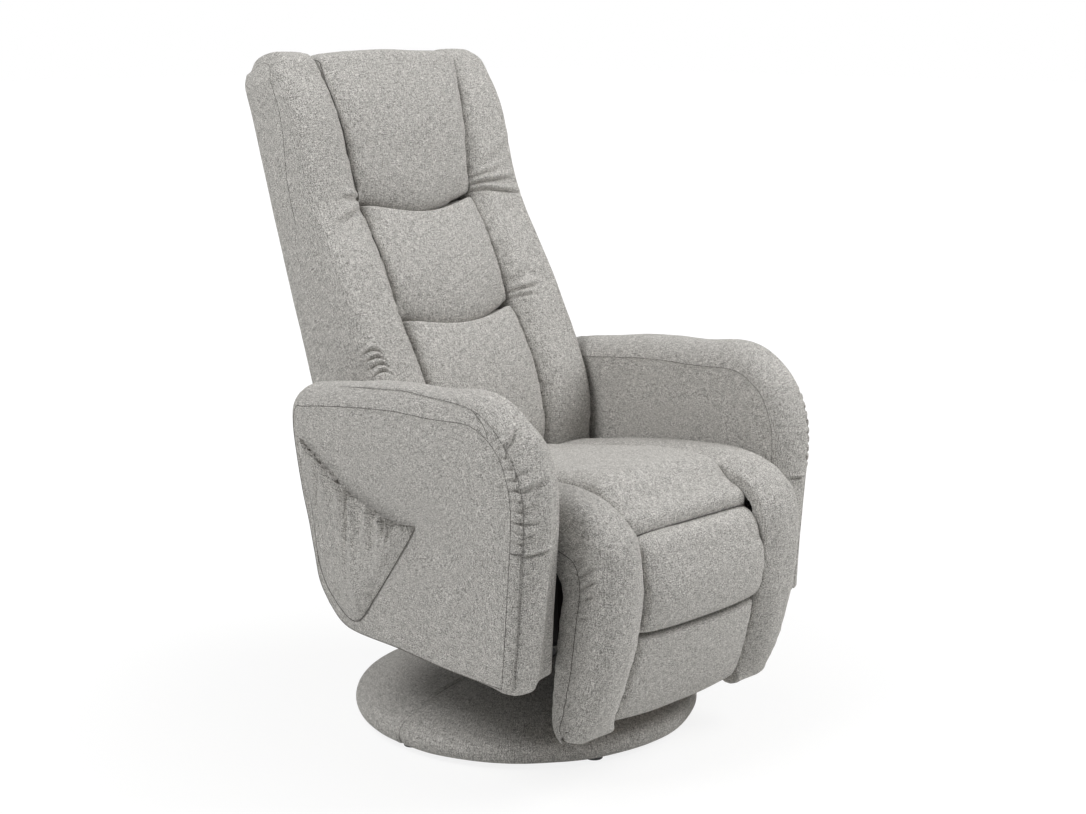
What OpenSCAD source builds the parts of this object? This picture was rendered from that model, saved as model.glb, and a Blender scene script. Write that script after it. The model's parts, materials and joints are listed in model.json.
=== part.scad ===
// Swivel recliner with a round upholstered base, two closed arms and a hanging leg rest.
// The origin is the middle of the base on the floor. The chair faces -Y, and left is the -X side.
// Outlines are lists of shares: of a named length across and of a named length up.

/* [Base] */
// Diameter of the round base
disc_d = 580; // [540:5:640]
// Height of the domed cover at its middle
dome_h = 93; // [84:1:95]
// Thickness of the base's fabric cover
cover_t = 2.5; // [1.5:0.5:4]
// Thickness of the base board
board_t = 18; // [12:1:20]
// Width of the foam edge outside the base board
foam_edge = 22; // [18:1:30]
// Height of the glides
glide_h = 10; // [9:0.5:12]
// Diameter of a glide
glide_d = 28; // [20:1:34]
// Number of glides in the ring round the middle one
glide_count = 5; // [4:1:8]
// Distance of the glides' centres inside the base's edge
glide_inset = 37; // [37:1:60]

/* [Swivel] */
// Outside diameter of the swivel post
post_d = 50; // [40:1:54]
// Wall of the swivel post
post_wall = 4; // [3:0.5:6]
// Diameter of the post's flange
flange_d = 140; // [120:5:160]
// Thickness of the post's flange
flange_t = 6; // [4:1:8]
// Height of the chassis plate's underside above the floor
chassis_z = 205; // [195:1:230]
// Thickness of the chassis plate
chassis_t = 6; // [4:1:8]
// Width of the chassis plate
chassis_w = 220; // [160:5:260]
// Wall of the nylon bushes
bush_wall = 3.4; // [2.5:0.1:5]
// Wall of the hub sleeve
sleeve_wall = 4.5; // [3:0.5:6]

/* [Seat frame] */
// Side of the square cross tubes
tube_s = 25; // [20:1:30]
// Wall of the square cross tubes
tube_wall = 2.5; // [1.5:0.5:4]
// Distance of the front cross tube in front of the post
tube_front_y = 230; // [210:5:240]
// Distance of the rear cross tube behind the post
tube_rear_y = 47; // [44:1:50]
// Half the distance between the side plates
plate_x = 194; // [185:1:200]
// Thickness of the steel side plates and levers
plate_t = 6; // [4:0.5:6]
// Thickness of the wooden side rails
rail_t = 20; // [15:1:24]
// Slope of the seat's underside in degrees
seat_slope = 8.6; // [7:0.1:9]
// Rise of the seat's underside above the cross tubes, over the rear tube
seat_rise = 66.4; // [64:0.2:70]
// Overhang of the side rails behind the rear cross tube
rail_overhang = 48; // [44:1:52]
// Half the width between the spring risers' ends
riser_x = 165; // [150:1:168]
// Diameter of the spring wire
wire_d = 3.6; // [3:0.2:4.5]
// Number of seat springs
spring_count = 5; // [3:1:6]

/* [Seat pads] */
// Half the width across the seat's side bolsters
seat_x = 236; // [232:1:240]
// Half the width of the seat's middle pad
middle_x = 138; // [134:1:144]
// Thickness of the seat's middle pad over its underside
seat_pad_t = 130; // [120:1:140]

/* [Back] */
// Distance of the back's hinge behind the post
back_hinge_y = 130; // [126:1:136]
// Height of the back's hinge above the cross tubes
back_hinge_rise = 134; // [130:1:140]
// Lean of the back at rest in degrees
back_tilt = 18; // [16:0.5:20]
// Distance of the back's hinge in front of the back's rear face
back_hinge_t = 76; // [72:1:80]
// Length of the back's frame above its hinge
back_len = 738; // [680:2:800]
// Thickness of the back at its thickest seam
back_t = 150; // [145:1:156]
// Half the width of the back
back_x = 238; // [234:1:242]
// Half the width of the back's middle panels
panel_x = 126; // [115:1:130]
// Growth of the half width of the head panel at its top
panel_flare = 26; // [0:1:30]
// How far the side bolsters stand proud of the seams
bolster_rise = 36; // [25:1:42]
// How far the middle panels stand proud of the seams
panel_crown = 15; // [8:1:20]
// Droop of the panels' lower edges
panel_droop = 24; // [0:1:30]

/* [Leg rest] */
// Distance of the leg rest's hinge in front of the post
foot_hinge_y = 345; // [340:1:350]
// Height of the leg rest's hinge above the cross tubes
foot_hinge_rise = 149; // [146:1:152]
// Lean of the hanging leg rest in degrees
foot_tilt = 8.5; // [7:0.5:10]
// Length of the leg rest below its hinge
foot_len = 300; // [270:2:310]
// Thickness of the leg rest's pads at the calf
foot_t = 56; // [50:1:62]
// Half the width across the leg rest's bolsters
foot_x = 235; // [230:1:238]
// How far the leg rest's bolsters stand proud of its middle pads
foot_bolster_rise = 17; // [8:1:22]
// Growth of the half width of the leg rest's middle pads at the bottom
calf_flare = 12; // [0:1:16]
// Distance of the seam between knee and calf pads below the hinge
knee_len = 134; // [110:1:150]
// Thickness of the leg rest's board
foot_board_t = 15; // [12:1:18]

/* [Push rods] */
// Length of the back's lever
back_lever = 110; // [108:1:112]
// Direction of the back's lever in degrees, from the rear, upwards
back_lever_angle = -71.2; // [-72:0.1:-70]
// Length of the leg rest's lever
foot_lever = 54.7; // [54:0.1:56]
// Direction of the leg rest's lever in degrees, from the rear, upwards
foot_lever_angle = -53.9; // [-55:0.1:-53]
// Width of a push rod
rod_w = 16; // [14:1:18]
// Diameter of the hinge and rod pins
pin_d = 10; // [8:0.5:12]
// Play of the pin in the push rod's front eye
eye_play = 5.6; // [5.2:0.1:6]

/* [Arms] */
// Gap between a seat bolster and the arm beside it
arm_gap = 9; // [6:1:14]
// Width of an arm between its two seams
arm_w = 112; // [100:1:130]
// Length of an arm's side panel
arm_len = 489; // [470:1:500]
// Height of an arm's side panel
arm_h = 377; // [360:1:400]
// Distance of the arm's front seam in front of the post
arm_front_y = 325; // [320:1:335]
// Depth of the arm's lower edge below the cross tubes' top
arm_drop = 33; // [30:1:40]
// Thickness of the plywood arm panels
ply_t = 12; // [9:1:15]
// Thickness of the pads on the arm's sides
side_pad_t = 13; // [10:1:16]
// Bulge of the pads on the arm's sides
side_bulge = 3; // [0:0.5:4]
// Crown of the band over the arm's top and front
band_crown = 42; // [25:1:48]
// How far the side pocket stands off the arm
pocket_depth = 15; // [12:1:22]
// Thickness of the pocket's cloth with its elastic edge
pocket_t = 2.6; // [2:0.2:4]

/* [Hidden] */
fabric_color = "#b3b0aa";
wood_color = "#c9a877";
steel_color = "#2c2d2f";
zinc_color = "#b9bcc0";
nylon_color = "#e4e1d6";
cloth_color = "#1d1d1f";
$fn = 48;
overrun = 1;
// Gap between a soft pad and what is beside it
soft_gap = 0.4;
// Radial play of a pin or post that turns
play = 0.05;
// Gap between flat faces that slide on each other
slide_gap = 0.3;

// Heights, from the floor up
board_z = glide_h;
board_top = board_z + board_t;
deck_z = chassis_z + chassis_t + tube_s;

// Swivel values
post_r = post_d / 2;
bush_r = post_r + play + bush_wall;
sleeve_r = bush_r + play + sleeve_wall;
trim_t = 4;
trim_w = 25;
trim_r = post_r + trim_w;
collar_z = dome_h + soft_gap + trim_t + slide_gap;
collar_t = 9.5;
collar_w = 13;
collar_r = post_r + collar_w;
bush_flange_t = 3;
bush_len = 30;
sleeve_z = collar_z + collar_t + slide_gap + bush_flange_t;
post_top = chassis_z + chassis_t + bush_flange_t + slide_gap;
washer_t = 4;
bolt_r = 4;
bolt_play = 0.25;
bolt_head_r = 7;
bolt_head_t = 5;

chain_swell = 0.4;

// Side view values, in (y, z)
back_hinge = [back_hinge_y, deck_z + back_hinge_rise];
foot_hinge = [-foot_hinge_y, deck_z + foot_hinge_rise];
function spoke(a) = [cos(a), sin(a)];
rod_rear = back_hinge + back_lever * spoke(back_lever_angle);
rod_front = foot_hinge + foot_lever * spoke(foot_lever_angle);
function seat_z(y) = deck_z + seat_rise + tan(seat_slope) * (tube_rear_y - y);

// Layers of the linkage across the chair
hinge_washer_t = 2;
hinge_washer_r = 12;
lever_x = plate_x - hinge_washer_t - plate_t;
rod_x = lever_x - hinge_washer_t - plate_t;
pin_r = pin_d / 2;
pin_head_r = 8;
pin_head_t = 2;
rail_x = plate_x + plate_t;

// Radii that soft ends keep to around the two hinges
turn_gap = 3;
back_turn_r = 70;
back_bolster_r = 85;
foot_turn_r = 32;
foot_bolster_r = 62;
void_r = 24;

// Back values: t is measured from the rear face and s up along it, from the hinge
back_cover_t = 4;
stile_w = 25;
stile_t = 25;
webbing_t = 2;
pad_base_t = back_cover_t + stile_t + webbing_t + soft_gap;
seam_low_s = 48;
seam_top_rise = 11;
seam_top_s = back_len + seam_top_rise;
head_seam_s = 501;
mid_seam_s = 298;
// Thickness of the back at its seams, from the seat to the top
seam_shares = [0.983, 0.993, 0.943, 0.860, 0.753, 0.677, 0.637, 0.607, 0.576];
// Rise of the bolsters over the seams, from the seat to the top
bolster_shares = [0.6, 1, 0.95, 0.86, 0.8, 0.5, 0.72, 0.86, 0.4];

// Arm values
arm_x = seat_x + arm_gap;
arm_out_x = arm_x + arm_w;
arm_z = deck_z - arm_drop;
panel_inset = 6;
// Outline of an arm's side panel from its lower rear corner, over the top, to the lower front corner
arm_shares = [
    [0.834, 0.117], [0.881, 0.202], [0.906, 0.324], [0.930, 0.450], [0.959, 0.576], [0.985, 0.730], [0.997, 0.850],
    [0.985, 0.927], [0.940, 0.940], [0.761, 0.971], [0.532, 0.998], [0.387, 1.000], [0.245, 1.000], [0.168, 0.989],
    [0.106, 0.952], [0.055, 0.900], [0.022, 0.825], [0.004, 0.737], [0.003, 0.605], [0.012, 0.446], [0.027, 0.204],
    [0.041, 0.000]
];
// Crown of the arm's band at each of those points
band_shares = [
    0.2, 0.22, 0.25, 0.3, 0.36, 0.42, 0.55, 0.7, 0.76, 0.8, 0.84, 0.88, 1, 1, 0.95, 0.86, 0.76, 0.66, 0.64, 0.64,
    0.58, 0.45
];
// The rest of the outline, along the arm's lower edge from front to rear
arm_bottom_shares = [[0.266, 0.003], [0.495, 0.021], [0.738, 0.037]];

// Sum of a list
function total(v, i = 0) = i < len(v) - 1 ? v[i] + total(v, i + 1) : v[i];
function reverse(v) = [for (i = [len(v) - 1:-1:0]) v[i]];
// Points of an arc in n steps
function arc(c, r, a, b, n) = [for (i = [0:n]) c + r * spoke(a + (b - a) * i / n)];
// Point on a smooth curve through the points p, at the share v of the way along them
function curve(p, v) = let (
    n = len(p) - 1,
    q = min(max(v, 0), 1) * n,
    i = min(floor(q), n - 1),
    t = q - i,
    a = p[max(i - 1, 0)],
    b = p[i],
    c = p[i + 1],
    d = p[min(i + 2, n)]
) (2 * b + (c - a) * t + (2 * a - 5 * b + 4 * c - d) * t * t + (3 * b - a - 3 * c + d) * t * t * t) / 2;
// Direction square to a closed outline at its point i, to the right of its course
function side_of(p, i) = let (
    n = len(p),
    d = p[(i + 1) % n] - p[(i + n - 1) % n]
) [d[1], -d[0]] / norm(d);
function grow(p, d) = [for (i = [0:len(p) - 1]) p[i] + d * side_of(p, i)];

// Twice the signed area of a loop of points seen along X
function area2(l) = total([
    for (i = [0:len(l) - 1]) let (a = l[i], b = l[(i + 1) % len(l)]) a[1] * b[2] - b[1] * a[2]
]);

// Closed solid through loops of points at growing x. The first half of a loop runs along the solid's face,
// and the second half runs back along its underside.
module skin(loops) {
    flip = area2(loops[0]) > 0;
    k = len(loops);
    n = len(loops[0]);
    h = n / 2;
    points = [for (l = loops) each flip ? reverse(l) : l];
    sides = [
        for (i = [0:k - 2], j = [0:n - 1])
            let (a = i * n + j, b = i * n + (j + 1) % n, c = a + n, d = b + n) each [[a, b, d], [a, d, c]]
    ];
    last = (k - 1) * n;
    ends = [
        for (j = [0:h - 2])
            let (a = j, b = j + 1, c = n - 2 - j, d = n - 1 - j)
                each [
                    [a, c, b], [a, d, c],
                    [last + a, last + b, last + c], [last + a, last + c, last + d]
                ]
    ];
    polyhedron(points, concat(sides, ends), convexity = 8);
}

// Loop of a pad at x, from its face and its underside. give says how much of a point's rise is its column's.
function pad_loop(x, rise, face, under, give) = concat(
    [for (j = [0:len(face) - 1])
        let (r = 1 - give[j] * (1 - rise), p = under[j] + (face[j] - under[j]) * r) [x, p[0], p[1]]],
    [for (j = [len(face) - 1:-1:0]) [x, under[j][0], under[j][1]]]
);
module sided(side) { mirror([side < 0 ? 1 : 0, 0, 0]) children(); }
module both() { for (side = [-1, 1]) sided(side) children(); }
// Extrudes a side view drawn in (y, z) from x over the width w
module across(x, w) { translate([x, 0, 0]) rotate([90, 0, 90]) linear_extrude(w) children(); }
// Straight strip between two points of the side view
module strip(a, b, w) {
    d = b - a;
    translate(a) rotate(atan2(d[1], d[0])) translate([0, -w / 2]) square([norm(d), w]);
}
// Round bar between two points
module bar(a, b, w) {
    strip(a, b, w);
    translate(a) circle(w / 2);
    translate(b) circle(w / 2);
}
// Plate that runs through points, a little wider round each of them
module chain(points, w) {
    for (i = [0:len(points) - 2]) strip(points[i], points[i + 1], w);
    for (p = points) translate(p) circle(w / 2 + chain_swell);
}
module ring(z, h, outer, inner) {
    translate([0, 0, z]) difference() {
        cylinder(h = h, r = outer);
        translate([0, 0, -overrun]) cylinder(h = h + 2 * overrun, r = inner);
    }
}
// Places what is drawn as [x, -t, s] on the back, and as [x, -t, -w] on the leg rest
module on_back() {
    translate([0, back_hinge[0], back_hinge[1]]) rotate([-back_tilt, 0, 0]) translate([0, back_hinge_t, 0]) children();
}
module on_leg() { translate([0, foot_hinge[0], foot_hinge[1]]) rotate([foot_tilt, 0, 0]) children(); }
// Point of the side view at [t, s] on the back, and at [t, w] on the leg rest
function from_back(p) = let (d = back_hinge_t - p[0])
    back_hinge + [d * cos(back_tilt) + p[1] * sin(back_tilt), p[1] * cos(back_tilt) - d * sin(back_tilt)];
function from_leg(p) =
    foot_hinge - [p[0] * cos(foot_tilt) - p[1] * sin(foot_tilt), p[0] * sin(foot_tilt) + p[1] * cos(foot_tilt)];

// Base

rim_r = disc_d / 2;
// Outline of the base's cover, from under its edge to the hole in the middle, as shares of radius and height
cover_shares = [
    [0.950, 0.095], [0.976, 0.130], [0.994, 0.215], [1.000, 0.310], [0.992, 0.415], [0.968, 0.500], [0.920, 0.575],
    [0.850, 0.665], [0.760, 0.770], [0.620, 0.880], [0.450, 0.955], [0.300, 0.985], [0.150, 1.000]
];
cover_line = [for (p = cover_shares) [p[0] * rim_r, p[1] * dome_h]];
// Direction square to the cover at point i, outwards
function cover_side(i) = let (
    n = len(cover_line) - 1,
    d = cover_line[min(i + 1, n)] - cover_line[max(i - 1, 0)]
) [d[1], -d[0]] / norm(d);
function cover_inside(depth) = [for (i = [0:len(cover_line) - 1]) cover_line[i] - depth * cover_side(i)];
board_r = rim_r - foam_edge;
glide_r = rim_r - glide_inset;
flange_r = flange_d / 2;
underlay_t = 1.2;
former_lap = 8;
former_hole_r = trim_r - former_lap;
glide_angle = 250;

module at_glides() {
    children();
    for (i = [0:glide_count - 1]) rotate(glide_angle + i * 360 / glide_count) translate([glide_r, 0, 0]) children();
}
post_bolt_count = 4;
module at_post_bolts() {
    for (i = [0:post_bolt_count - 1])
        rotate(45 + i * 360 / post_bolt_count) translate([(post_r + flange_r) / 2, 0, 0]) children();
}

module base_glides() {
    color(steel_color) at_glides() cylinder(h = glide_h, d = glide_d);
}
module base_underlay() {
    color(cloth_color) difference() {
        translate([0, 0, board_z - underlay_t]) cylinder(h = underlay_t, r = board_r);
        translate([0, 0, -overrun]) at_glides() cylinder(h = board_z + overrun, d = glide_d + 2 * soft_gap);
        translate([0, 0, -overrun]) at_post_bolts() cylinder(h = board_z + overrun, r = bolt_r + bolt_play);
    }
}
module base_board() {
    color(wood_color) difference() {
        translate([0, 0, board_z]) cylinder(h = board_t, r = board_r);
        translate([0, 0, board_z - overrun]) at_post_bolts()
            cylinder(h = board_t + 2 * overrun, r = bolt_r + bolt_play);
    }
}
module base_former() {
    top = cover_inside(cover_t + soft_gap);
    step_z = board_top + flange_t + bolt_head_t + 2 * soft_gap;
    color(cloth_color) rotate_extrude(convexity = 4) polygon(concat(
        [[board_r + soft_gap, top[0][1]]],
        top,
        [
            [former_hole_r, top[len(top) - 1][1]], [former_hole_r, step_z], [flange_r + soft_gap, step_z],
            [flange_r + soft_gap, board_top], [board_r + soft_gap, board_top]
        ]
    ));
}
module base_cover() {
    color(fabric_color) rotate_extrude(convexity = 4) polygon(concat(cover_line, reverse(cover_inside(cover_t))));
}
module base_trim_ring() {
    color(cloth_color) ring(dome_h + soft_gap, trim_t, trim_r, post_r + slide_gap);
}
plug_t = 20;
cap_bolt_r = 6;
cap_bolt_len = 24;
cap_head_r = 11;
cap_head_t = 7.5;
module swivel_post() {
    color(steel_color) difference() {
        union() {
            translate([0, 0, board_top]) cylinder(h = flange_t, r = flange_r);
            translate([0, 0, board_top]) cylinder(h = post_top - board_top, r = post_r);
        }
        translate([0, 0, board_top - overrun])
            cylinder(h = post_top - plug_t - board_top + overrun, r = post_r - post_wall);
        translate([0, 0, board_top]) cylinder(h = post_top, r = cap_bolt_r + bolt_play);
        translate([0, 0, board_top - overrun]) at_post_bolts()
            cylinder(h = flange_t + 2 * overrun, r = bolt_r + bolt_play);
    }
}
module post_bolts() {
    color(zinc_color) at_post_bolts() {
        translate([0, 0, board_z]) cylinder(h = board_t + flange_t, r = bolt_r);
        translate([0, 0, board_top + flange_t]) cylinder(h = bolt_head_t, r = bolt_head_r);
    }
}
module thrust_collar() {
    color(steel_color) ring(collar_z, collar_t, collar_r, post_r + play);
}
module retaining_washer() {
    color(zinc_color) {
        translate([0, 0, post_top]) cylinder(h = washer_t, r = sleeve_r);
        translate([0, 0, post_top + washer_t]) cylinder(h = cap_head_t, r = cap_head_r);
        translate([0, 0, post_top - cap_bolt_len]) cylinder(h = cap_bolt_len, r = cap_bolt_r);
    }
}

// Carriage: hub and seat frame

tube_ys = [-tube_front_y, tube_rear_y];
module swivel_hub() {
    color(steel_color) difference() {
        union() {
            translate([0, 0, sleeve_z]) cylinder(h = chassis_z - sleeve_z, r = sleeve_r);
            translate([-chassis_w / 2, -tube_front_y - tube_s / 2, chassis_z])
                cube([chassis_w, tube_front_y + tube_rear_y + tube_s, chassis_t]);
        }
        translate([0, 0, sleeve_z - overrun]) cylinder(h = chassis_z, r = bush_r + play);
    }
}
module hub_bushes() {
    color(nylon_color) {
        ring(sleeve_z, bush_len, bush_r, post_r + play);
        ring(sleeve_z - bush_flange_t, bush_flange_t, sleeve_r, post_r + play);
        ring(chassis_z + chassis_t - bush_len, bush_len, bush_r, post_r + play);
        ring(chassis_z + chassis_t, bush_flange_t, sleeve_r, post_r + play);
    }
}
end_plate_t = 4;
end_plate_h = 62;
end_plate_w = 50;
arm_bolt_rise = 14;
arm_bolt_x = 15;
// The bolts that hold an arm's inner panel to the cross tubes' end plates
module at_arm_bolts() {
    both() for (y = tube_ys, d = [-arm_bolt_x, arm_bolt_x])
        translate([arm_x + side_pad_t, y + d, deck_z + arm_bolt_rise]) rotate([0, 90, 0]) children();
}
module cross_tubes() {
    x = arm_x + side_pad_t;
    color(steel_color) difference() {
        for (y = tube_ys) {
            translate([-x, y - tube_s / 2, chassis_z + chassis_t]) difference() {
                cube([2 * x, tube_s, tube_s]);
                translate([-overrun, tube_wall, tube_wall])
                    cube([2 * x + 2 * overrun, tube_s - 2 * tube_wall, tube_s - 2 * tube_wall]);
            }
            both() translate([x - end_plate_t, y - end_plate_w / 2, chassis_z + chassis_t])
                cube([end_plate_t, end_plate_w, end_plate_h]);
        }
        at_arm_bolts() translate([0, 0, -end_plate_t - overrun])
            cylinder(h = end_plate_t + 2 * overrun, r = bolt_r + bolt_play);
    }
}
module arm_bolts() {
    color(zinc_color) at_arm_bolts() {
        translate([0, 0, -end_plate_t]) cylinder(h = end_plate_t + ply_t, r = bolt_r);
        translate([0, 0, -end_plate_t - bolt_head_t]) cylinder(h = bolt_head_t, r = bolt_head_r);
    }
}
rail_setback = 60;
rail_front_y = foot_hinge_y - rail_setback;
rail_rear_y = tube_rear_y + rail_overhang;
module side_rail(side) {
    color(wood_color) sided(side) across(rail_x, rail_t) polygon([
        [-rail_front_y, deck_z], [rail_rear_y, deck_z],
        [rail_rear_y, seat_z(rail_rear_y) - soft_gap], [-rail_front_y, seat_z(-rail_front_y) - soft_gap]
    ]);
}
// The side plate runs from the back's hinge along the rail to the leg rest's hinge
ear_w = 23;
plate_rear_in = 15;
plate_rear_rise = 34;
plate_front_in = 13;
plate_front_rise = 64;
plate_rear = [rail_rear_y - plate_rear_in, deck_z + plate_rear_rise];
plate_front = [-rail_front_y + plate_front_in, deck_z + plate_front_rise];
module side_plate(side) {
    color(steel_color) sided(side) across(plate_x, plate_t) difference() {
        chain([back_hinge, plate_rear, plate_front, foot_hinge], ear_w);
        translate(back_hinge) circle(pin_r + play);
        translate(foot_hinge) circle(pin_r + play);
    }
}
spring_top_drop = soft_gap;
module spring_risers() {
    drop = spring_top_drop + wire_d / cos(seat_slope);
    color(wood_color) for (y = tube_ys) across(-riser_x, 2 * riser_x) polygon([
        [y - tube_s / 2, deck_z], [y + tube_s / 2, deck_z],
        [y + tube_s / 2, seat_z(y + tube_s / 2) - drop], [y - tube_s / 2, seat_z(y - tube_s / 2) - drop]
    ]);
}
spring_wave = 16;
spring_steps = 14;
module seat_springs() {
    span = (tube_front_y + tube_rear_y + tube_s / 2) / cos(seat_slope);
    pitch = span / spring_steps;
    gap = 2 * riser_x / spring_count;
    color(zinc_color) translate([0, tube_rear_y + tube_s / 4, seat_z(tube_rear_y + tube_s / 4) - spring_top_drop])
        rotate([-seat_slope, 0, 0]) for (i = [0:spring_count - 1])
            translate([(i - (spring_count - 1) / 2) * gap, 0, -wire_d]) linear_extrude(wire_d)
                for (j = [0:spring_steps - 1])
                    let (a = [spring_wave * (j % 2 == 0 ? -1 : 1), -j * pitch], b = [-a[0], -(j + 1) * pitch])
                        bar(a, b, wire_d);
}
dust_t = 1.2;
module dust_cover() {
    y0 = -tube_front_y + tube_s / 2;
    color(cloth_color) translate([-plate_x + soft_gap, y0 + soft_gap, deck_z - 2 * dust_t])
        cube([2 * (plate_x - soft_gap), tube_rear_y - tube_s / 2 - y0 - 2 * soft_gap, dust_t]);
}

// Carriage: seat pads

function seat_point(p) = [-p[0] * foot_hinge_y, seat_z(-p[0] * foot_hinge_y) + p[1] * seat_pad_t];
// Crown of the middle pad from rear to front: share of the reach to the front hinge, share of the thickness
seat_crown_shares = [
    [-0.17, 0.985], [-0.06, 1.0], [0.13, 1.0], [0.33, 1.0], [0.55, 0.995], [0.72, 0.935], [0.85, 0.79], [0.93, 0.60]
];
seat_under_shares = [[-0.12, 0], [0.06, 0], [0.26, 0], [0.44, 0], [0.60, 0], [0.72, 0], [0.82, 0], [0.89, 0]];
seat_give = [0, 0, 0, 0, 0.3, 1, 1, 1, 1, 1, 1, 0.8, 0, 0, 0, 0];
module seat_pad() {
    front_r = foot_turn_r + turn_gap;
    edge_x = panel_x - soft_gap;
    function face(r) = concat(
        arc(back_hinge, r, 176, 150, 3),
        [for (p = seat_crown_shares) seat_point(p)],
        arc(foot_hinge, front_r, 76, 18, 3)
    );
    function under(r) = concat(
        arc(back_hinge, r, 188, 218, 2), [seat_point([-0.24, 0])],
        [for (p = seat_under_shares) seat_point(p)],
        [seat_point([0.913, 0])], arc(foot_hinge, front_r, -34, 8, 2)
    );
    // Columns of one half: x, rise, and the radius that the pad's rear end keeps to
    half = [
        [0, 1, back_turn_r], [0.36 * middle_x, 0.99, back_turn_r], [0.72 * middle_x, 0.955, back_turn_r],
        [edge_x - turn_gap, 0.925, back_turn_r], [edge_x, 0.915, back_bolster_r],
        [0.96 * middle_x, 0.88, back_bolster_r], [middle_x, 0.80, back_bolster_r]
    ];
    columns = concat([for (i = [len(half) - 1:-1:1]) [-half[i][0], half[i][1], half[i][2]]], half);
    color(fabric_color) skin([
        for (c = columns) let (r = c[2] + turn_gap) pad_loop(c[0], c[1], face(r), under(r), seat_give)
    ]);
}
// Crown of the side bolsters from rear to front
bolster_crown_shares = [
    [-0.12, 0.99], [0.0, 1.0], [0.16, 1.01], [0.34, 1.0], [0.54, 0.985], [0.72, 0.955], [0.86, 0.90], [0.965, 0.80]
];
bolster_under_shares = [[-0.10, 0], [0.04, 0], [0.18, 0], [0.32, 0], [0.46, 0], [0.58, 0], [0.69, 0], [0.78, 0]];
bolster_give = [0, 0, 0, 0, 1, 1, 1, 1, 1, 1, 1, 0.9, 0, 0, 0, 0];
module seat_bolster(side) {
    rear_r = back_bolster_r + turn_gap;
    front_r = foot_bolster_r + turn_gap;
    inner_x = middle_x + soft_gap;
    face = concat(
        arc(back_hinge, rear_r, 176, 142, 3),
        [for (p = bolster_crown_shares) seat_point(p)],
        arc(foot_hinge, front_r, 92, 20, 3)
    );
    under = concat(
        arc(back_hinge, rear_r, 188, 214, 2), [seat_point([-0.20, 0])],
        [for (p = bolster_under_shares) seat_point(p)],
        [seat_point([0.826, 0])], arc(foot_hinge, front_r, -24, 8, 2)
    );
    color(fabric_color) sided(side) skin([
        for (c = [[0, 0.84], [0.06, 0.92], [0.25, 0.985], [0.52, 1], [0.76, 0.965], [0.93, 0.87], [1, 0.76]])
            pad_loop(inner_x + c[0] * (seat_x - inner_x), c[1], face, under, bolster_give)
    ]);
}

// Arms

function arm_point(p) = [-arm_front_y + p[0] * arm_len, arm_z + p[1] * arm_h];
arm_line = [for (p = concat(arm_shares, arm_bottom_shares)) arm_point(p)];
arm_n = len(arm_shares);
// The outline runs so that its right side is the outside
function arm_inside(d) = grow(arm_line, -d);
core_x = arm_x + side_pad_t;
core_out_x = arm_out_x - side_pad_t;
module arm_panels(side) {
    color(wood_color) difference() {
        sided(side) for (x = [core_x, core_out_x - ply_t]) across(x, ply_t) polygon(arm_inside(panel_inset));
        at_arm_bolts() translate([0, 0, -overrun]) cylinder(h = ply_t + overrun, r = bolt_r + bolt_play);
    }
}
// Blocks between an arm's panels, as shares of its outline: low y, high y, low z, high z
block_shares = [
    [0.17, 0.93, 0.84, 0.91], [0.05, 0.12, 0.07, 0.72], [0.14, 0.72, 0.06, 0.14], [0.80, 0.86, 0.24, 0.80]
];
module arm_blocks(side) {
    x = core_x + ply_t;
    color(wood_color) sided(side) for (b = block_shares) {
        low = arm_point([b[0], b[2]]);
        high = arm_point([b[1], b[3]]);
        translate([x, low[0], low[1]]) cube([core_out_x - ply_t - x, high[0] - low[0], high[1] - low[1]]);
    }
}
// Pad on an arm's side: rings of the outline, [x, share of the size], closed by a point in the middle
module side_pad(rings, tip_x) {
    line = arm_inside(panel_inset - soft_gap);
    n = len(line);
    k = len(rings);
    c = total(line) / n;
    points = concat(
        [for (r = rings, p = line) let (q = c + (p - c) * r[1]) [r[0], q[0], q[1]]],
        [[rings[0][0], c[0], c[1]], [tip_x, c[0], c[1]]]
    );
    walls = [
        for (i = [0:k - 2], j = [0:n - 1])
            let (a = i * n + j, b = i * n + (j + 1) % n) each [[a, a + n, b + n], [a, b + n, b]]
    ];
    caps = [
        for (j = [0:n - 1])
            let (a = j, b = (j + 1) % n, e = (k - 1) * n) each [[a, b, k * n], [e + b, e + a, k * n + 1]]
    ];
    faces = concat(walls, caps);
    polyhedron(points, tip_x > rings[0][0] ? faces : [for (f = faces) reverse(f)], convexity = 4);
}
module arm_outer_pad(side) {
    seam = side_pad_t;
    color(fabric_color) sided(side) side_pad([
        [core_out_x, 1], [core_out_x + seam * 0.85, 1], [core_out_x + seam, 0.985],
        [core_out_x + seam + 0.5 * side_bulge, 0.85], [core_out_x + seam + side_bulge, 0.5]
    ], core_out_x + seam + side_bulge);
}
module arm_inner_pad(side) {
    // The pad's lower part is cut away round the cross tubes' end plates
    cut_h = end_plate_h - tube_s + 2 * soft_gap;
    color(fabric_color) sided(side) difference() {
        across(arm_x, side_pad_t) polygon(arm_inside(panel_inset - soft_gap));
        for (y = tube_ys) translate([arm_x - overrun, y - end_plate_w / 2 - soft_gap, arm_z - overrun])
            cube([side_pad_t + 2 * overrun, end_plate_w + 2 * soft_gap, arm_drop + cut_h + overrun]);
    }
}
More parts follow.
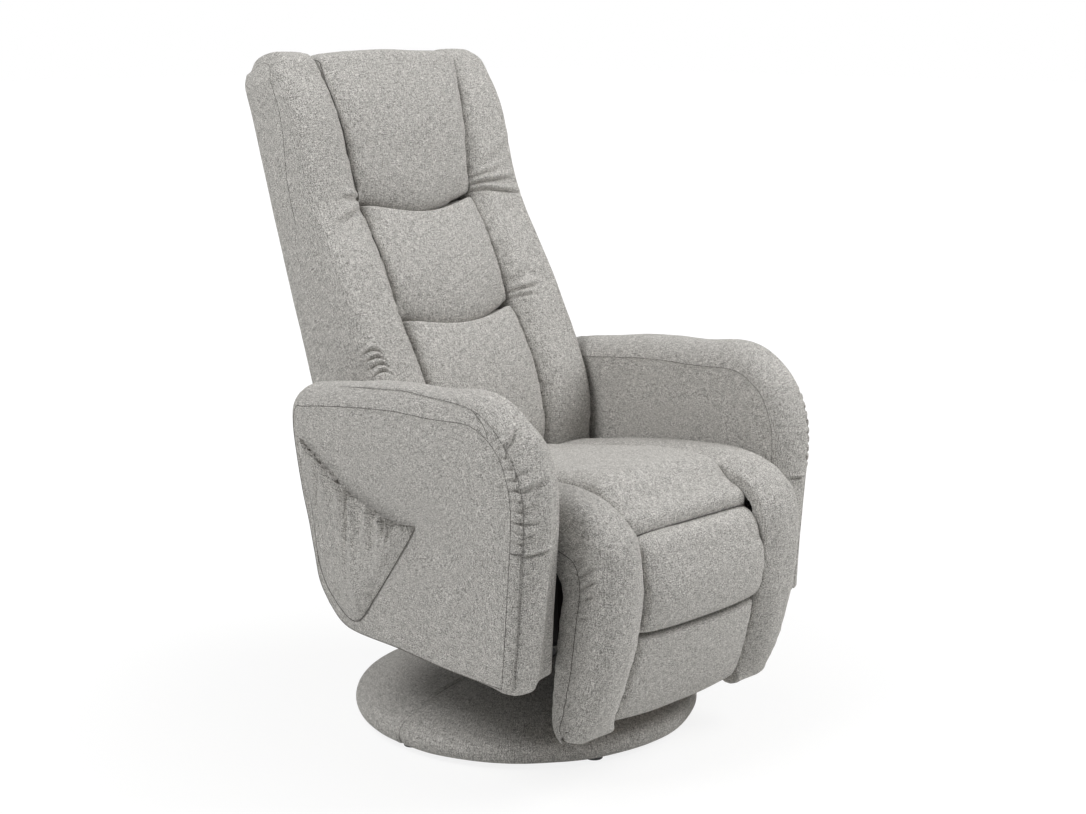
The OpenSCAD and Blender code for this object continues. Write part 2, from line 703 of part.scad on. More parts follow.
// Rounding of the band across the arm: share of the half width, share of the crown
band_round_shares = [
    [-1, 0.02], [-0.94, 0.34], [-0.72, 0.72], [-0.35, 0.95], [0, 1], [0.35, 0.95], [0.72, 0.72], [0.94, 0.34], [1, 0.02]
];
module arm_band(side) {
    middle = (arm_x + arm_out_x) / 2;
    under = arm_inside(panel_inset - 2 * soft_gap);
    color(fabric_color) sided(side) skin([
        for (c = band_round_shares) let (
            x = middle + c[0] * arm_w / 2,
            face = [for (i = [0:arm_n - 1]) arm_line[i] + band_crown * band_shares[i] * c[1] * side_of(arm_line, i)]
        ) concat(
            [for (p = face) [x, p[0], p[1]]],
            [for (i = [arm_n - 1:-1:0]) [x, under[i][0], under[i][1]]]
        )
    ]);
}
// Side pocket: its gathered mouth from rear to front, and the seam below, as shares of the arm's outline
mouth_shares = [
    [0.955, 0.800], [0.865, 0.737], [0.736, 0.655], [0.656, 0.618], [0.522, 0.573], [0.466, 0.562], [0.396, 0.562]
];
pocket_seam_shares = [
    [0.940, 0.720], [0.905, 0.480], [0.870, 0.250], [0.775, 0.110], [0.689, 0.082], [0.597, 0.210], [0.528, 0.321],
    [0.440, 0.472], [0.402, 0.545]
];
pocket_fold_share = 0.16;
pocket_folds = 6;
pocket_columns = 24;
pocket_rows = 5;
module side_pocket() {
    inner_x = arm_out_x + side_bulge + soft_gap;
    function place(a, b) = let (
        top = curve(mouth_shares, a), low = curve(pocket_seam_shares, a)
    ) arm_point(top + (low - top) * b);
    function depth(a, b) = pocket_depth * (1 + pocket_fold_share * cos(360 * pocket_folds * a) * (1 - b))
        * pow(max(sin(180 * a), 0), 0.5) * pow(1 - b, 0.6);
    function at(a, b, out) = let (p = place(a, b)) [p[0], p[1], inner_x + depth(a, b) + out];
    // The skin is stacked from the seam up, so its loops are turned to lie along Z here and back below
    loops = [
        for (i = [pocket_rows:-1:0]) let (b = i / pocket_rows) concat(
            [for (j = [0:pocket_columns]) at(j / pocket_columns, b, pocket_t)],
            [for (j = [pocket_columns:-1:0]) at(j / pocket_columns, b, 0)]
        )
    ];
    n = len(loops[0]);
    h = n / 2;
    points = [for (l = loops, p = l) [-p[2], p[0], p[1]]];
    sides = [
        for (i = [0:pocket_rows - 1], j = [0:n - 1])
            let (a = i * n + j, b = i * n + (j + 1) % n, c = a + n, d = b + n) each [[a, d, b], [a, c, d]]
    ];
    last = pocket_rows * n;
    ends = [
        for (j = [0:h - 2]) let (a = j, b = j + 1, c = n - 2 - j, d = n - 1 - j)
            each [[a, b, c], [a, c, d], [last + a, last + c, last + b], [last + a, last + d, last + c]]
    ];
    color(fabric_color) polyhedron(points, concat(sides, ends), convexity = 8);
}

// Back

function seam_t(s) = back_t * curve(seam_shares, (s - seam_low_s) / (seam_top_s - seam_low_s));
function bolster_t(s) = seam_t(s) + bolster_rise * curve(bolster_shares, (s - seam_low_s) / (seam_top_s - seam_low_s));
function flare(s) = panel_flare * pow(max(0, (s - head_seam_s) / (seam_top_s - head_seam_s)), 1.2);
// Columns of a middle panel, as shares of its half width
panel_columns = [-1, -0.95, -0.75, -0.4, 0, 0.4, 0.75, 0.95, 1];
edge_sink = 7;
// Face of a middle panel at the share u across it
function panel_t(u, s, rise) = pad_base_t
    + (seam_t(s) - pad_base_t + panel_crown * (1 - u * u) - edge_sink * pow(abs(u), 16)) * rise;
// Row shares along a panel and how far its face stands up there
panel_rows = [[0, 0.55], [0.05, 0.82], [0.16, 0.97], [0.36, 1], [0.62, 1], [0.84, 0.97], [0.95, 0.86], [1, 0.62]];
// The panel's loop at u, from s = low to s = high, with more points of face and underside before and after
function panel_loop(u, low, high, rows, pre_face, pre_under, post_face, post_under) = let (
    s = [for (r = rows) low + (high - low) * r[0]],
    face = concat(pre_face, [for (i = [0:len(rows) - 1]) [panel_t(u, s[i], rows[i][1]), s[i]]], post_face),
    under = concat(pre_under, [for (v = s) [pad_base_t, v]], post_under),
    // A point's x follows the flare of the panel at its height
    at = function (p) [u * (panel_x + flare(p[1])), -p[0], p[1]]
) concat([for (p = face) at(p)], [for (p = reverse(under)) at(p)]);
function droop(u) = panel_droop * (1 - u * u);
panel_gap = 1;

// The underside's hem below the hinge, and where the face takes over from the roll
hem_low_s = -22;
hem_step = 10;
lower_start_s = 40;
module lower_panel() {
    rows = [for (i = [0:len(panel_rows) - 1]) if (i > 1) panel_rows[i]];
    // The face starts under the hinge and turns with it
    a = [-125, -95, -65, -35, -8, 14];
    pre_face = [for (v = a) [back_hinge_t, 0] + back_turn_r * spoke(v)];
    pre_under = [for (i = [0:len(a) - 1]) [pad_base_t, hem_low_s + i * hem_step]];
    color(fabric_color) on_back() skin([
        for (u = panel_columns)
            panel_loop(u, lower_start_s, mid_seam_s - droop(u) - panel_gap / 2, rows, pre_face, pre_under, [], [])
    ]);
}
module middle_panel() {
    color(fabric_color) on_back() skin([
        for (u = panel_columns)
            panel_loop(u, mid_seam_s - droop(u) + panel_gap / 2, head_seam_s - droop(u) - panel_gap / 2, panel_rows,
                [], [], [], [])
    ]);
}
frame_top_s = back_len;
// Height of the roll over the frame's top, on the head panel and on the bolsters
head_roll_h = 17;
bolster_roll_h = 32;
module head_panel() {
    rows = [for (r = panel_rows) if (r[0] < 0.9) r];
    top_t = seam_t(seam_top_s);
    top_face = [
        [0.80 * top_t, frame_top_s + 0.88 * head_roll_h], [0.45 * top_t, frame_top_s + head_roll_h],
        [back_cover_t, frame_top_s + 0.47 * head_roll_h]
    ];
    top_under = [for (t = [pad_base_t, pad_base_t / 2, back_cover_t]) [t, frame_top_s + soft_gap]];
    color(fabric_color) on_back() skin([
        for (u = panel_columns)
            panel_loop(u, head_seam_s - droop(u) + panel_gap / 2, frame_top_s, rows, [], [], top_face, top_under)
    ]);
}
// Rounding of the back's bolsters: share of the width from the inner seam, share of the height over the base
back_round_shares = [
    [0, 0.80], [0.05, 0.87], [0.22, 0.955], [0.48, 0.995], [0.68, 1], [0.84, 0.95], [0.95, 0.80], [1, 0.50]
];
bolster_rows = 11;
bolster_low_s = 74;
bolster_high_gap = 10;
bolster_lip = 2;
void_corner = 52;
module back_bolster(side) {
    r = back_bolster_r;
    hinge = [back_hinge_t, 0];
    high_s = frame_top_s - bolster_high_gap;
    s = [for (i = [0:bolster_rows - 1]) bolster_low_s + (high_s - bolster_low_s) * i / (bolster_rows - 1)];
    top_t = bolster_t(high_s);
    face = concat(
        [for (a = [-38, -18, 2, 22]) hinge + r * spoke(a)],
        [[bolster_t(seam_low_s) - bolster_lip, seam_low_s]],
        [for (v = s) [bolster_t(v), v]],
        [for (q = [[0.86, 0.5], [0.56, 1], [0.25, 0.81]]) [q[0] * top_t, frame_top_s + q[1] * bolster_roll_h]],
        [[back_cover_t, frame_top_s + 0.31 * bolster_roll_h]]
    );
    under = concat(
        [for (a = [-38, -18, 2, 30]) hinge + void_r * spoke(a)],
        [hinge + void_r * spoke(66)],
        [[void_corner, void_corner]],
        [for (i = [1:bolster_rows - 1]) [pad_base_t, s[i]]],
        [for (t = [pad_base_t, pad_base_t * 0.6, pad_base_t * 0.4, back_cover_t]) [t, frame_top_s + soft_gap]]
    );
    give = concat([0, 0, 0, 0.2, 0.8], [for (v = s) 1], [1, 1, 0.9, 0.5]);
    color(fabric_color) on_back() sided(side) skin([
        for (c = back_round_shares) let (
            at = function (p) let (low = panel_x + flare(p[1]) + soft_gap) [low + c[0] * (back_x - low), -p[0], p[1]],
            n = len(face)
        ) concat(
            [for (j = [0:n - 1]) at(under[j] + (face[j] - under[j]) * (1 - give[j] * (1 - c[1])))],
            [for (j = [n - 1:-1:0]) at(under[j])]
        )
    ]);
}
stile_x = lever_x + plate_t;
stile_low_s = -8;
module back_box(x, w, t, d, s, h) { translate([x, -t - d, s]) cube([w, d, h]); }
module back_stiles() {
    color(wood_color) on_back() both()
        back_box(stile_x, stile_w, back_cover_t, stile_t, stile_low_s, frame_top_s - stile_low_s);
}
rail_h = 45;
rail_shares = [0.03, 0.52, 1];
module back_rails() {
    // The lowest rail ends at the levers, which lie inside the stiles there
    color(wood_color) on_back() for (r = rail_shares) let (x = r == rail_shares[0] ? lever_x : stile_x)
        back_box(-x, 2 * x, back_cover_t, stile_t, r * (frame_top_s - rail_h), rail_h);
}
strap_w = 50;
strap_count = 7;
strap_low_s = 90;
module back_webbing() {
    pitch = (frame_top_s - strap_w - strap_low_s) / (strap_count - 1);
    x = stile_x + stile_w;
    color(cloth_color) on_back() for (i = [0:strap_count - 1])
        back_box(-x, 2 * x, back_cover_t + stile_t, webbing_t, strap_low_s + i * pitch, strap_w);
}
module back_cover() {
    color(fabric_color) on_back() back_box(-back_x + soft_gap, 2 * (back_x - soft_gap), 0, back_cover_t, stile_low_s,
        frame_top_s + soft_gap - stile_low_s);
}
lever_w = 24;
lever_foot_s = 62;
lever_foot = [back_cover_t + stile_t / 2, lever_foot_s];
lever_foot_len = 110;
module back_lever(side) {
    foot = from_back(lever_foot);
    top = from_back(lever_foot + [0, lever_foot_len]);
    color(steel_color) sided(side) across(lever_x, plate_t) difference() {
        chain([rod_rear, back_hinge, foot, top], lever_w);
        translate(back_hinge) circle(pin_r + play);
        translate(rod_rear) circle(pin_r + play);
    }
}
// Stepped pin along X: head, shaft and head
module hinge_pin(p) {
    low = lever_x - pin_head_t;
    high = plate_x + plate_t;
    translate([0, p[0], p[1]]) rotate([0, 90, 0]) {
        translate([0, 0, low]) cylinder(h = high - low - slide_gap, r = pin_r);
        translate([0, 0, low]) cylinder(h = pin_head_t - play, r = pin_head_r);
    }
}
eye_r = pin_r + eye_play;
module rod_pin(p, flange_r) {
    low = rod_x - pin_head_t - slide_gap;
    translate([0, p[0], p[1]]) rotate([0, 90, 0]) {
        translate([0, 0, low]) cylinder(h = lever_x + plate_t - low, r = pin_r);
        translate([0, 0, low]) cylinder(h = pin_head_t, r = flange_r);
        translate([0, 0, rod_x + plate_t + slide_gap])
            cylinder(h = lever_x - rod_x - plate_t - slide_gap - play, r = flange_r);
    }
}
rod_flange_r = 9;
eye_flange_w = 3.5;
eye_flange_r = eye_r + eye_flange_w;
module back_pins() { color(zinc_color) both() { hinge_pin(back_hinge); rod_pin(rod_rear, rod_flange_r); } }
module leg_pins() { color(zinc_color) both() { hinge_pin(foot_hinge); rod_pin(rod_front, eye_flange_r); } }
module hinge_washers(p) {
    color(nylon_color) both() translate([0, p[0], p[1]]) rotate([0, 90, 0])
        ring(lever_x + plate_t, hinge_washer_t - slide_gap, hinge_washer_r, pin_r + play);
}
rod_eye_wall = 4.5;
module push_rod(side) {
    color(steel_color) sided(side) across(rod_x, plate_t) difference() {
        union() {
            bar(rod_front, rod_rear, rod_w);
            translate(rod_front) circle(eye_r + rod_eye_wall);
        }
        translate(rod_rear) circle(pin_r + play);
        translate(rod_front) circle(eye_r);
    }
}

// Leg rest

// Thickness of the pads at the seams down the leg rest, as shares of its thickness
calf_shares = [0.62, 0.84, 0.93, 0.965, 0.975, 0.95, 0.89, 0.80, 0.66, 0.44];
leg_under_t = 0.4;
calf_end = 6;
leg_bottom_w = foot_len - calf_end;
leg_crown = 9;
// Where the pads' seams begin below the hinge, and where their faces do
leg_seam_w = 10;
leg_low_w = 14;
function leg_t(w) = foot_t * curve(calf_shares, (w - leg_seam_w) / (leg_bottom_w - leg_seam_w));
function calf_x(w) = middle_x + calf_flare * pow(max(0, w / foot_len), 1.5);
function leg_panel_t(u, w, rise) = leg_under_t
    + (leg_t(w) - leg_under_t + leg_crown * (1 - u * u) - edge_sink * pow(abs(u), 16)) * rise;
function leg_loop(u, low, high, rows, pre_face, pre_under) = let (
    w = [for (r = rows) low + (high - low) * r[0]],
    face = concat(pre_face, [for (i = [0:len(rows) - 1]) [leg_panel_t(u, w[i], rows[i][1]), w[i]]]),
    under = concat(pre_under, [for (v = w) [leg_under_t, v]]),
    at = function (p) [u * calf_x(p[1]), -p[0], -p[1]]
) concat([for (p = face) at(p)], [for (p = reverse(under)) at(p)]);
knee_droop = 5;
function dip(u) = knee_droop * (1 - u * u);
// The underside's hem over the hinge, from behind it to the board, as [t, w]
knee_hem = [[-8, -14], [leg_under_t, leg_seam_w]];
module knee_pad() {
    rows = [[0, 1], [0.22, 1], [0.5, 1], [0.78, 1], [0.93, 0.93], [1, 0.68]];
    a = [112, 90, 68, 46, 28];
    n = len(a) - 1;
    pre_face = [for (v = a) foot_turn_r * [cos(v), -sin(v)]];
    pre_under = [for (i = [0:n]) knee_hem[0] + (knee_hem[1] - knee_hem[0]) * i / n];
    color(fabric_color) on_leg() skin([
        for (u = panel_columns) leg_loop(u, leg_low_w, knee_len + dip(u) - panel_gap / 2, rows, pre_face, pre_under)
    ]);
}
module calf_pad() {
    rows = [[0, 0.68], [0.06, 0.92], [0.22, 1], [0.5, 1], [0.78, 1], [0.94, 0.9], [1, 0.6]];
    color(fabric_color) on_leg() skin([
        for (u = panel_columns)
            leg_loop(u, knee_len + dip(u) + panel_gap / 2, leg_bottom_w + dip(u), rows, [], [])
    ]);
}
leg_round_shares = [[0, 0.80], [0.06, 0.88], [0.26, 0.965], [0.52, 1], [0.76, 0.97], [0.93, 0.84], [1, 0.5]];
// The bolster's rise over the middle pads down the leg rest
leg_bolster_shares = [1.05, 1.05, 1, 0.92, 0.85, 0.82, 0.8, 0.8];
leg_bolster_end = 20;
leg_roll_h = 18;
module leg_bolster(side) {
    high_w = foot_len - leg_bolster_end;
    k = 8;
    w = [for (i = [0:k - 1]) leg_low_w + (high_w - leg_low_w) * i / (k - 1)];
    function rise_t(v) = leg_t(v) + foot_bolster_rise * curve(leg_bolster_shares, v / high_w);
    face = concat(
        [for (a = [93, 70, 46, 20]) foot_bolster_r * [cos(a), -sin(a)]],
        [for (v = w) [rise_t(v), v]],
        [for (q = [[0.80, 0], [0.5, 0.78], [0.14, 1]]) [q[0] * rise_t(high_w), foot_len + q[1] * leg_roll_h]]
    );
    under = concat(
        [for (a = [93, 60, 28, -4]) void_r * [cos(a), -sin(a)]],
        [void_r * [cos(-40), -sin(-40)]],
        [for (i = [1:k - 1]) [leg_under_t, w[i]]],
        [for (q = [-0.44, 0.11, 0.44]) [leg_under_t, foot_len + q * leg_roll_h]]
    );
    give = concat([0, 0, 0, 0.1], [for (v = w) 1], [1, 1, 1]);
    color(fabric_color) on_leg() sided(side) skin([
        for (c = leg_round_shares) let (
            at = function (p) let (low = calf_x(p[1]) + soft_gap) [low + c[0] * (foot_x - low), -p[0], -p[1]],
            n = len(face)
        ) concat(
            [for (j = [0:n - 1]) at(under[j] + (face[j] - under[j]) * (1 - give[j] * (1 - c[1])))],
            [for (j = [n - 1:-1:0]) at(under[j])]
        )
    ]);
}
leg_board_w = 70;
leg_board_inset = 10;
leg_board_x = foot_x - leg_board_inset;
module leg_board() {
    color(wood_color) on_leg() translate([-leg_board_x, 0, -foot_len])
        cube([2 * leg_board_x, foot_board_t, foot_len - leg_board_w]);
}
leg_cover_t = 1.5;
leg_cover_inset = 4;
module leg_cover() {
    x = lever_x - leg_cover_inset;
    color(cloth_color) on_leg() translate([-x, foot_board_t, -foot_len])
        cube([2 * x, leg_cover_t, foot_len - leg_board_w]);
}
bracket_w = 21;
bracket_heel_len = 20;
bracket_heel_w = leg_board_w + bracket_heel_len;
bracket_len = 175;
module leg_bracket(side) {
    behind = -foot_board_t - chain_swell - bracket_w / 2;
    heel = from_leg([behind, bracket_heel_w]);
    toe = from_leg([behind, bracket_len]);
    color(steel_color) sided(side) across(lever_x, plate_t) difference() {
        chain([foot_hinge, rod_front, heel, toe], bracket_w);
        translate(foot_hinge) circle(pin_r + play);
        translate(rod_front) circle(pin_r + play);
    }
}

base_glides();
base_underlay();
base_board();
base_former();
base_cover();
base_trim_ring();
swivel_post();
post_bolts();
thrust_collar();
retaining_washer();
swivel_hub();
hub_bushes();
cross_tubes();
side_rail(-1);  // side_rail_left
side_rail(1);  // side_rail_right
side_plate(-1);  // side_plate_left
side_plate(1);  // side_plate_right
spring_risers();
seat_springs();
dust_cover();
arm_bolts();
seat_pad();
seat_bolster(-1);  // seat_bolster_left
seat_bolster(1);  // seat_bolster_right
arm_panels(-1);  // arm_panels_left
arm_panels(1);  // arm_panels_right
arm_blocks(-1);  // arm_blocks_left
arm_blocks(1);  // arm_blocks_right
arm_outer_pad(-1);  // arm_outer_pad_left
arm_outer_pad(1);  // arm_outer_pad_right
arm_inner_pad(-1);  // arm_inner_pad_left
arm_inner_pad(1);  // arm_inner_pad_right
arm_band(-1);  // arm_band_left
arm_band(1);  // arm_band_right
side_pocket();
back_stiles();
back_rails();
back_webbing();
head_panel();
middle_panel();
lower_panel();
back_bolster(-1);  // back_bolster_left
back_bolster(1);  // back_bolster_right
back_cover();
back_lever(-1);  // back_lever_left
back_lever(1);  // back_lever_right
back_pins();
hinge_washers(back_hinge);  // hinge_washers_back
push_rod(-1);  // push_rod_left
push_rod(1);  // push_rod_right
leg_board();
leg_bracket(-1);  // leg_bracket_left
leg_bracket(1);  // leg_bracket_right
knee_pad();
calf_pad();
leg_bolster(-1);  // leg_bolster_left
leg_bolster(1);  // leg_bolster_right
leg_cover();
leg_pins();
hinge_washers(foot_hinge);  // hinge_washers_leg
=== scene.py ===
"""Looks of the swivel recliner: upholstery, seams, materials, lights and camera. Sizes here are millimetres."""

import json
import math

import bpy
import numpy as np
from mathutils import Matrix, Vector


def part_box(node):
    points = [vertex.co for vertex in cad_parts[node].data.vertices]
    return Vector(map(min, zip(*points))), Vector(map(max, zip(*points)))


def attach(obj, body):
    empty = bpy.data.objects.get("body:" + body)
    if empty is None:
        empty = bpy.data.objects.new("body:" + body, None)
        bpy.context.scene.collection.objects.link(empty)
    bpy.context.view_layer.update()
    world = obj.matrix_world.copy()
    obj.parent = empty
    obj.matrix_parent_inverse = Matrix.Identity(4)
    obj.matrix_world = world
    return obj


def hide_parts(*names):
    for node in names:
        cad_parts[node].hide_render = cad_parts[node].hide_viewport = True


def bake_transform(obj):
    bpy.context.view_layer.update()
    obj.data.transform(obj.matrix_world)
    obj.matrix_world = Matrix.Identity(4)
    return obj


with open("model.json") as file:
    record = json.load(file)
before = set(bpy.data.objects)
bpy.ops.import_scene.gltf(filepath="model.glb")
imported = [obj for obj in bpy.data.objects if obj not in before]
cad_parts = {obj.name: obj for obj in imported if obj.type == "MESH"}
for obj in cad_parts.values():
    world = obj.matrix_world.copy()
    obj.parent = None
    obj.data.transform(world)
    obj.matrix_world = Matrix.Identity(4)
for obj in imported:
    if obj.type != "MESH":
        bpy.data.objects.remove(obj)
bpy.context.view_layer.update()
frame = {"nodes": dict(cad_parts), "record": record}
NODES = frame["nodes"]
RECORD = frame["record"]
MM = 0.001


def cosd(a):
    return np.cos(np.radians(a))


def sind(a):
    return np.sin(np.radians(a))


def spoke(a):
    return np.array([cosd(a), sind(a)])


# Noise and curves


def lattice(i, seed):
    h = (i[..., 0] * 374761393 + i[..., 1] * 668265263 + i[..., 2] * 1442695041 + seed * 97531) & 0xFFFFFFFF
    h = ((h ^ (h >> 13)) * 1274126177) & 0xFFFFFFFF
    return ((h ^ (h >> 16)) & 0xFFFF) / 32767.5 - 1


def noise(p, seed=0):
    """Smooth noise from -1 to 1 at the points p."""
    p = np.asarray(p, float)
    i = np.floor(p).astype(np.int64)
    f = p - i
    f = f * f * (3 - 2 * f)
    out = 0
    for k in range(8):
        o = np.array([k & 1, k >> 1 & 1, k >> 2 & 1])
        w = np.prod(np.where(o == 1, f, 1 - f), axis=-1)
        out = out + w * lattice(i + o, seed)
    return out


def spline(p, v):
    """Points on a smooth curve through p, at the shares v of the way along them."""
    p = np.asarray(p, float)
    v = np.clip(np.asarray(v, float), 0, 1)
    n = len(p) - 1
    q = v * n
    i = np.minimum(np.floor(q).astype(int), n - 1)
    t = q - i
    a, b, c, d = p[np.maximum(i - 1, 0)], p[i], p[i + 1], p[np.minimum(i + 2, n)]
    if p.ndim > 1:
        t = t[..., None]
    return (2 * b + (c - a) * t + (2 * a - 5 * b + 4 * c - d) * t * t + (3 * b - a - 3 * c + d) * t**3) / 2


def lengths(p):
    """Distance along the polyline p at each of its points."""
    return np.concatenate([[0], np.cumsum(np.linalg.norm(np.diff(p, axis=0), axis=1))])


def along(p, v):
    """Points at the shares v of the length of the smooth curve through p."""
    fine = spline(p, np.linspace(0, 1, 16 * len(p)))
    s = lengths(fine)
    return np.stack([np.interp(np.asarray(v) * s[-1], s, fine[:, k]) for k in range(fine.shape[1])], -1)


def dense(n, near=0.35):
    """n shares from 0 to 1 that lie closer together at both ends."""
    t = np.linspace(0, 1, n)
    e = 0.5 - 0.5 * np.cos(np.pi * t)
    return t + (e - t) * (1 - near)


def paced(path, step):
    """Shares along the smooth curve through path, spaced by step(points) millimetres."""
    p = spline(path, np.linspace(0, 1, 1500))
    d = lengths(p)
    gap = step(p)
    count = np.concatenate([[0], np.cumsum(2 * np.diff(d) / (gap[1:] + gap[:-1]))])
    n = int(math.ceil(count[-1])) + 1
    return np.interp(np.linspace(0, count[-1], n), count, d) / d[-1]


def rise_from(a, w):
    """A side that climbs from a seam: 0 at the seam, 1 from w on."""
    return np.sin(np.pi / 2 * np.clip(a / w, 0, 1))


def roll(d, w, depth):
    """How far a padded edge drops at the distance d from its seam: a quarter ellipse w wide."""
    q = 1 - np.clip(d / w, 0, 1)
    return depth * (1 - np.sqrt(np.maximum(0, 1 - q * q)))


def bump(d, w):
    return np.exp(-((d / w) ** 2))


def crease(d, w, lip, off, wide):
    """A crease w wide at the distance 0, with a swollen lip wide at the distance off."""
    return -bump(d, w) + lip * bump(d - off, wide)


def ramp(x, width):
    """0 where x is negative, and 1 where it is more than width."""
    return np.clip(x / width, 0, 1)


def arch(u, height):
    return height * (1 - u * u)


def points(*axes):
    """Points from their coordinates, each an array or one number for all."""
    return np.stack(np.broadcast_arrays(*axes), -1)


# Meshes


def mesh_object(name, verts, faces, uvs=None, sharp=60):
    """verts in millimetres. uvs holds one (u, v) in metres for each corner of each face."""
    mesh = bpy.data.meshes.new(name)
    mesh.from_pydata((np.asarray(verts) * MM).tolist(), [], faces)
    if uvs is not None:
        layer = mesh.uv_layers.new(name="Cloth")
        layer.data.foreach_set("uv", np.asarray(uvs, np.float32).ravel())
    mesh.shade_smooth()
    mesh.set_sharp_from_angle(angle=math.radians(sharp))
    obj = bpy.data.objects.new(name, mesh)
    bpy.context.scene.collection.objects.link(obj)
    return obj


def grid_normals(p):
    """Normals of a grid of points, whose second direction closes on itself."""
    n = np.cross(np.gradient(p, axis=0), np.roll(p, -1, axis=1) - np.roll(p, 1, axis=1))
    n /= np.maximum(np.linalg.norm(n, axis=-1, keepdims=True), 1e-9)
    mid = p.reshape(-1, 3).mean(0)
    return n if np.sum(n * (p - mid)) > 0 else -n


def run_along(p, axis):
    """Mean distance along one direction of a grid of points, in metres."""
    steps = np.linalg.norm(np.diff(p, axis=axis), axis=2).mean(1 - axis)
    return np.concatenate([[0], np.cumsum(steps)]) * MM


def outward(verts, faces, uvs):
    """The faces and their corners' uvs, turned over if the faces look inward."""
    a, b, c = (verts[[f[m] for f in faces]] for m in range(3))
    if np.sum(np.cross(b - a, c - a) * (a - verts.mean(0))) < 0:
        faces = [f[::-1] for f in faces]
        uvs = [q for m in range(0, len(uvs), 4) for q in uvs[m : m + 4][::-1]]
    return faces, uvs


def loft(name, loops, caps=True, sharp=60):
    """Mesh through the closed loops of points, an array of (loops, points, 3). With caps, a loop's second half
    runs back along its first, and the ends close between the two."""
    p = np.asarray(loops, float)
    k, n = p.shape[:2]
    u, v = run_along(p, 0), run_along(np.concatenate([p, p[:, :1]], axis=1), 1)
    verts = p.reshape(-1, 3)
    faces, uvs = [], []
    for i in range(k - 1):
        for j in range(n):
            a, b = i * n + j, i * n + (j + 1) % n
            faces.append((a, b, b + n, a + n))
            uvs += [(u[i], v[j]), (u[i], v[j + 1]), (u[i + 1], v[j + 1]), (u[i + 1], v[j])]
    if caps:
        for base, way in ((0, -1), ((k - 1) * n, 1)):
            for j in range(n // 2 - 1):
                quad = (base + j, base + j + 1, base + n - 2 - j, base + n - 1 - j)[::way]
                faces.append(quad)
                uvs += [(w[1] * MM, w[2] * MM) for w in verts[list(quad)]]
    return mesh_object(name, verts, *outward(verts, faces, uvs), sharp)


def cloth(name, outer, inner):
    """Thin closed piece between two grids of points of one size."""
    k, n = outer.shape[:2]
    at = np.arange(k * n).reshape(k, n)
    du, dv = run_along(outer, 0), run_along(outer, 1)
    faces, uvs = [], []
    for i in range(k - 1):
        for j in range(n - 1):
            q = [at[i, j], at[i + 1, j], at[i + 1, j + 1], at[i, j + 1]]
            w = [(du[i], dv[j]), (du[i + 1], dv[j]), (du[i + 1], dv[j + 1]), (du[i], dv[j + 1])]
            faces += [q, [c + k * n for c in q[::-1]]]
            uvs += w + w[::-1]
    ring = list(at[:-1, 0]) + list(at[-1, :-1]) + list(at[:0:-1, -1]) + list(at[0, :0:-1])
    for a, b in zip(ring, ring[1:] + ring[:1]):
        faces.append([b, a, a + k * n, b + k * n])
        uvs += [(0, 0)] * 4
    verts = np.concatenate([outer.reshape(-1, 3), inner.reshape(-1, 3)])
    faces, uvs = outward(verts, faces, uvs)
    return mesh_object(name, verts, [tuple(int(c) for c in f) for f in faces], uvs, 75)


THREAD_AND_SHADE_LINES = {}


def thread_shade_line(body, points, r=0.9):
    """Keeps a line of stitching, built later with the others of its body. Most are built dark, a colour that stands for
    the shade in the seams' grooves; the disc's light stitches are not.
    """
    THREAD_AND_SHADE_LINES.setdefault(body, []).append((np.asarray(points, float), r))


def unit(v):
    return v / np.maximum(np.linalg.norm(v, axis=1, keepdims=True), 1e-9)


def tube_mesh(name, lines):
    """One mesh of thin tubes, one along each (points, radius) of lines."""
    sides = 5
    verts, faces = [], []
    for p, r in lines:
        t = unit(np.gradient(p, axis=0))
        ref = np.array([0.0, 0.0, 1.0]) if abs(t[:, 2]).mean() < 0.8 else np.array([1.0, 0.0, 0.0])
        a = unit(np.cross(t, ref))
        b = np.cross(t, a)
        base = len(verts)
        ang = np.linspace(0, 2 * np.pi, sides, endpoint=False)
        ring = p[:, None] + r * (np.cos(ang)[None, :, None] * a[:, None] + np.sin(ang)[None, :, None] * b[:, None])
        verts += ring.reshape(-1, 3).tolist()
        for i in range(len(p) - 1):
            for j in range(sides):
                c, d = base + i * sides + j, base + i * sides + (j + 1) % sides
                faces.append((c, d, d + sides, c + sides))
        faces.append(tuple(base + j for j in reversed(range(sides))))
        faces.append(tuple(base + (len(p) - 1) * sides + j for j in range(sides)))
    return mesh_object(name, verts, faces)


# Materials


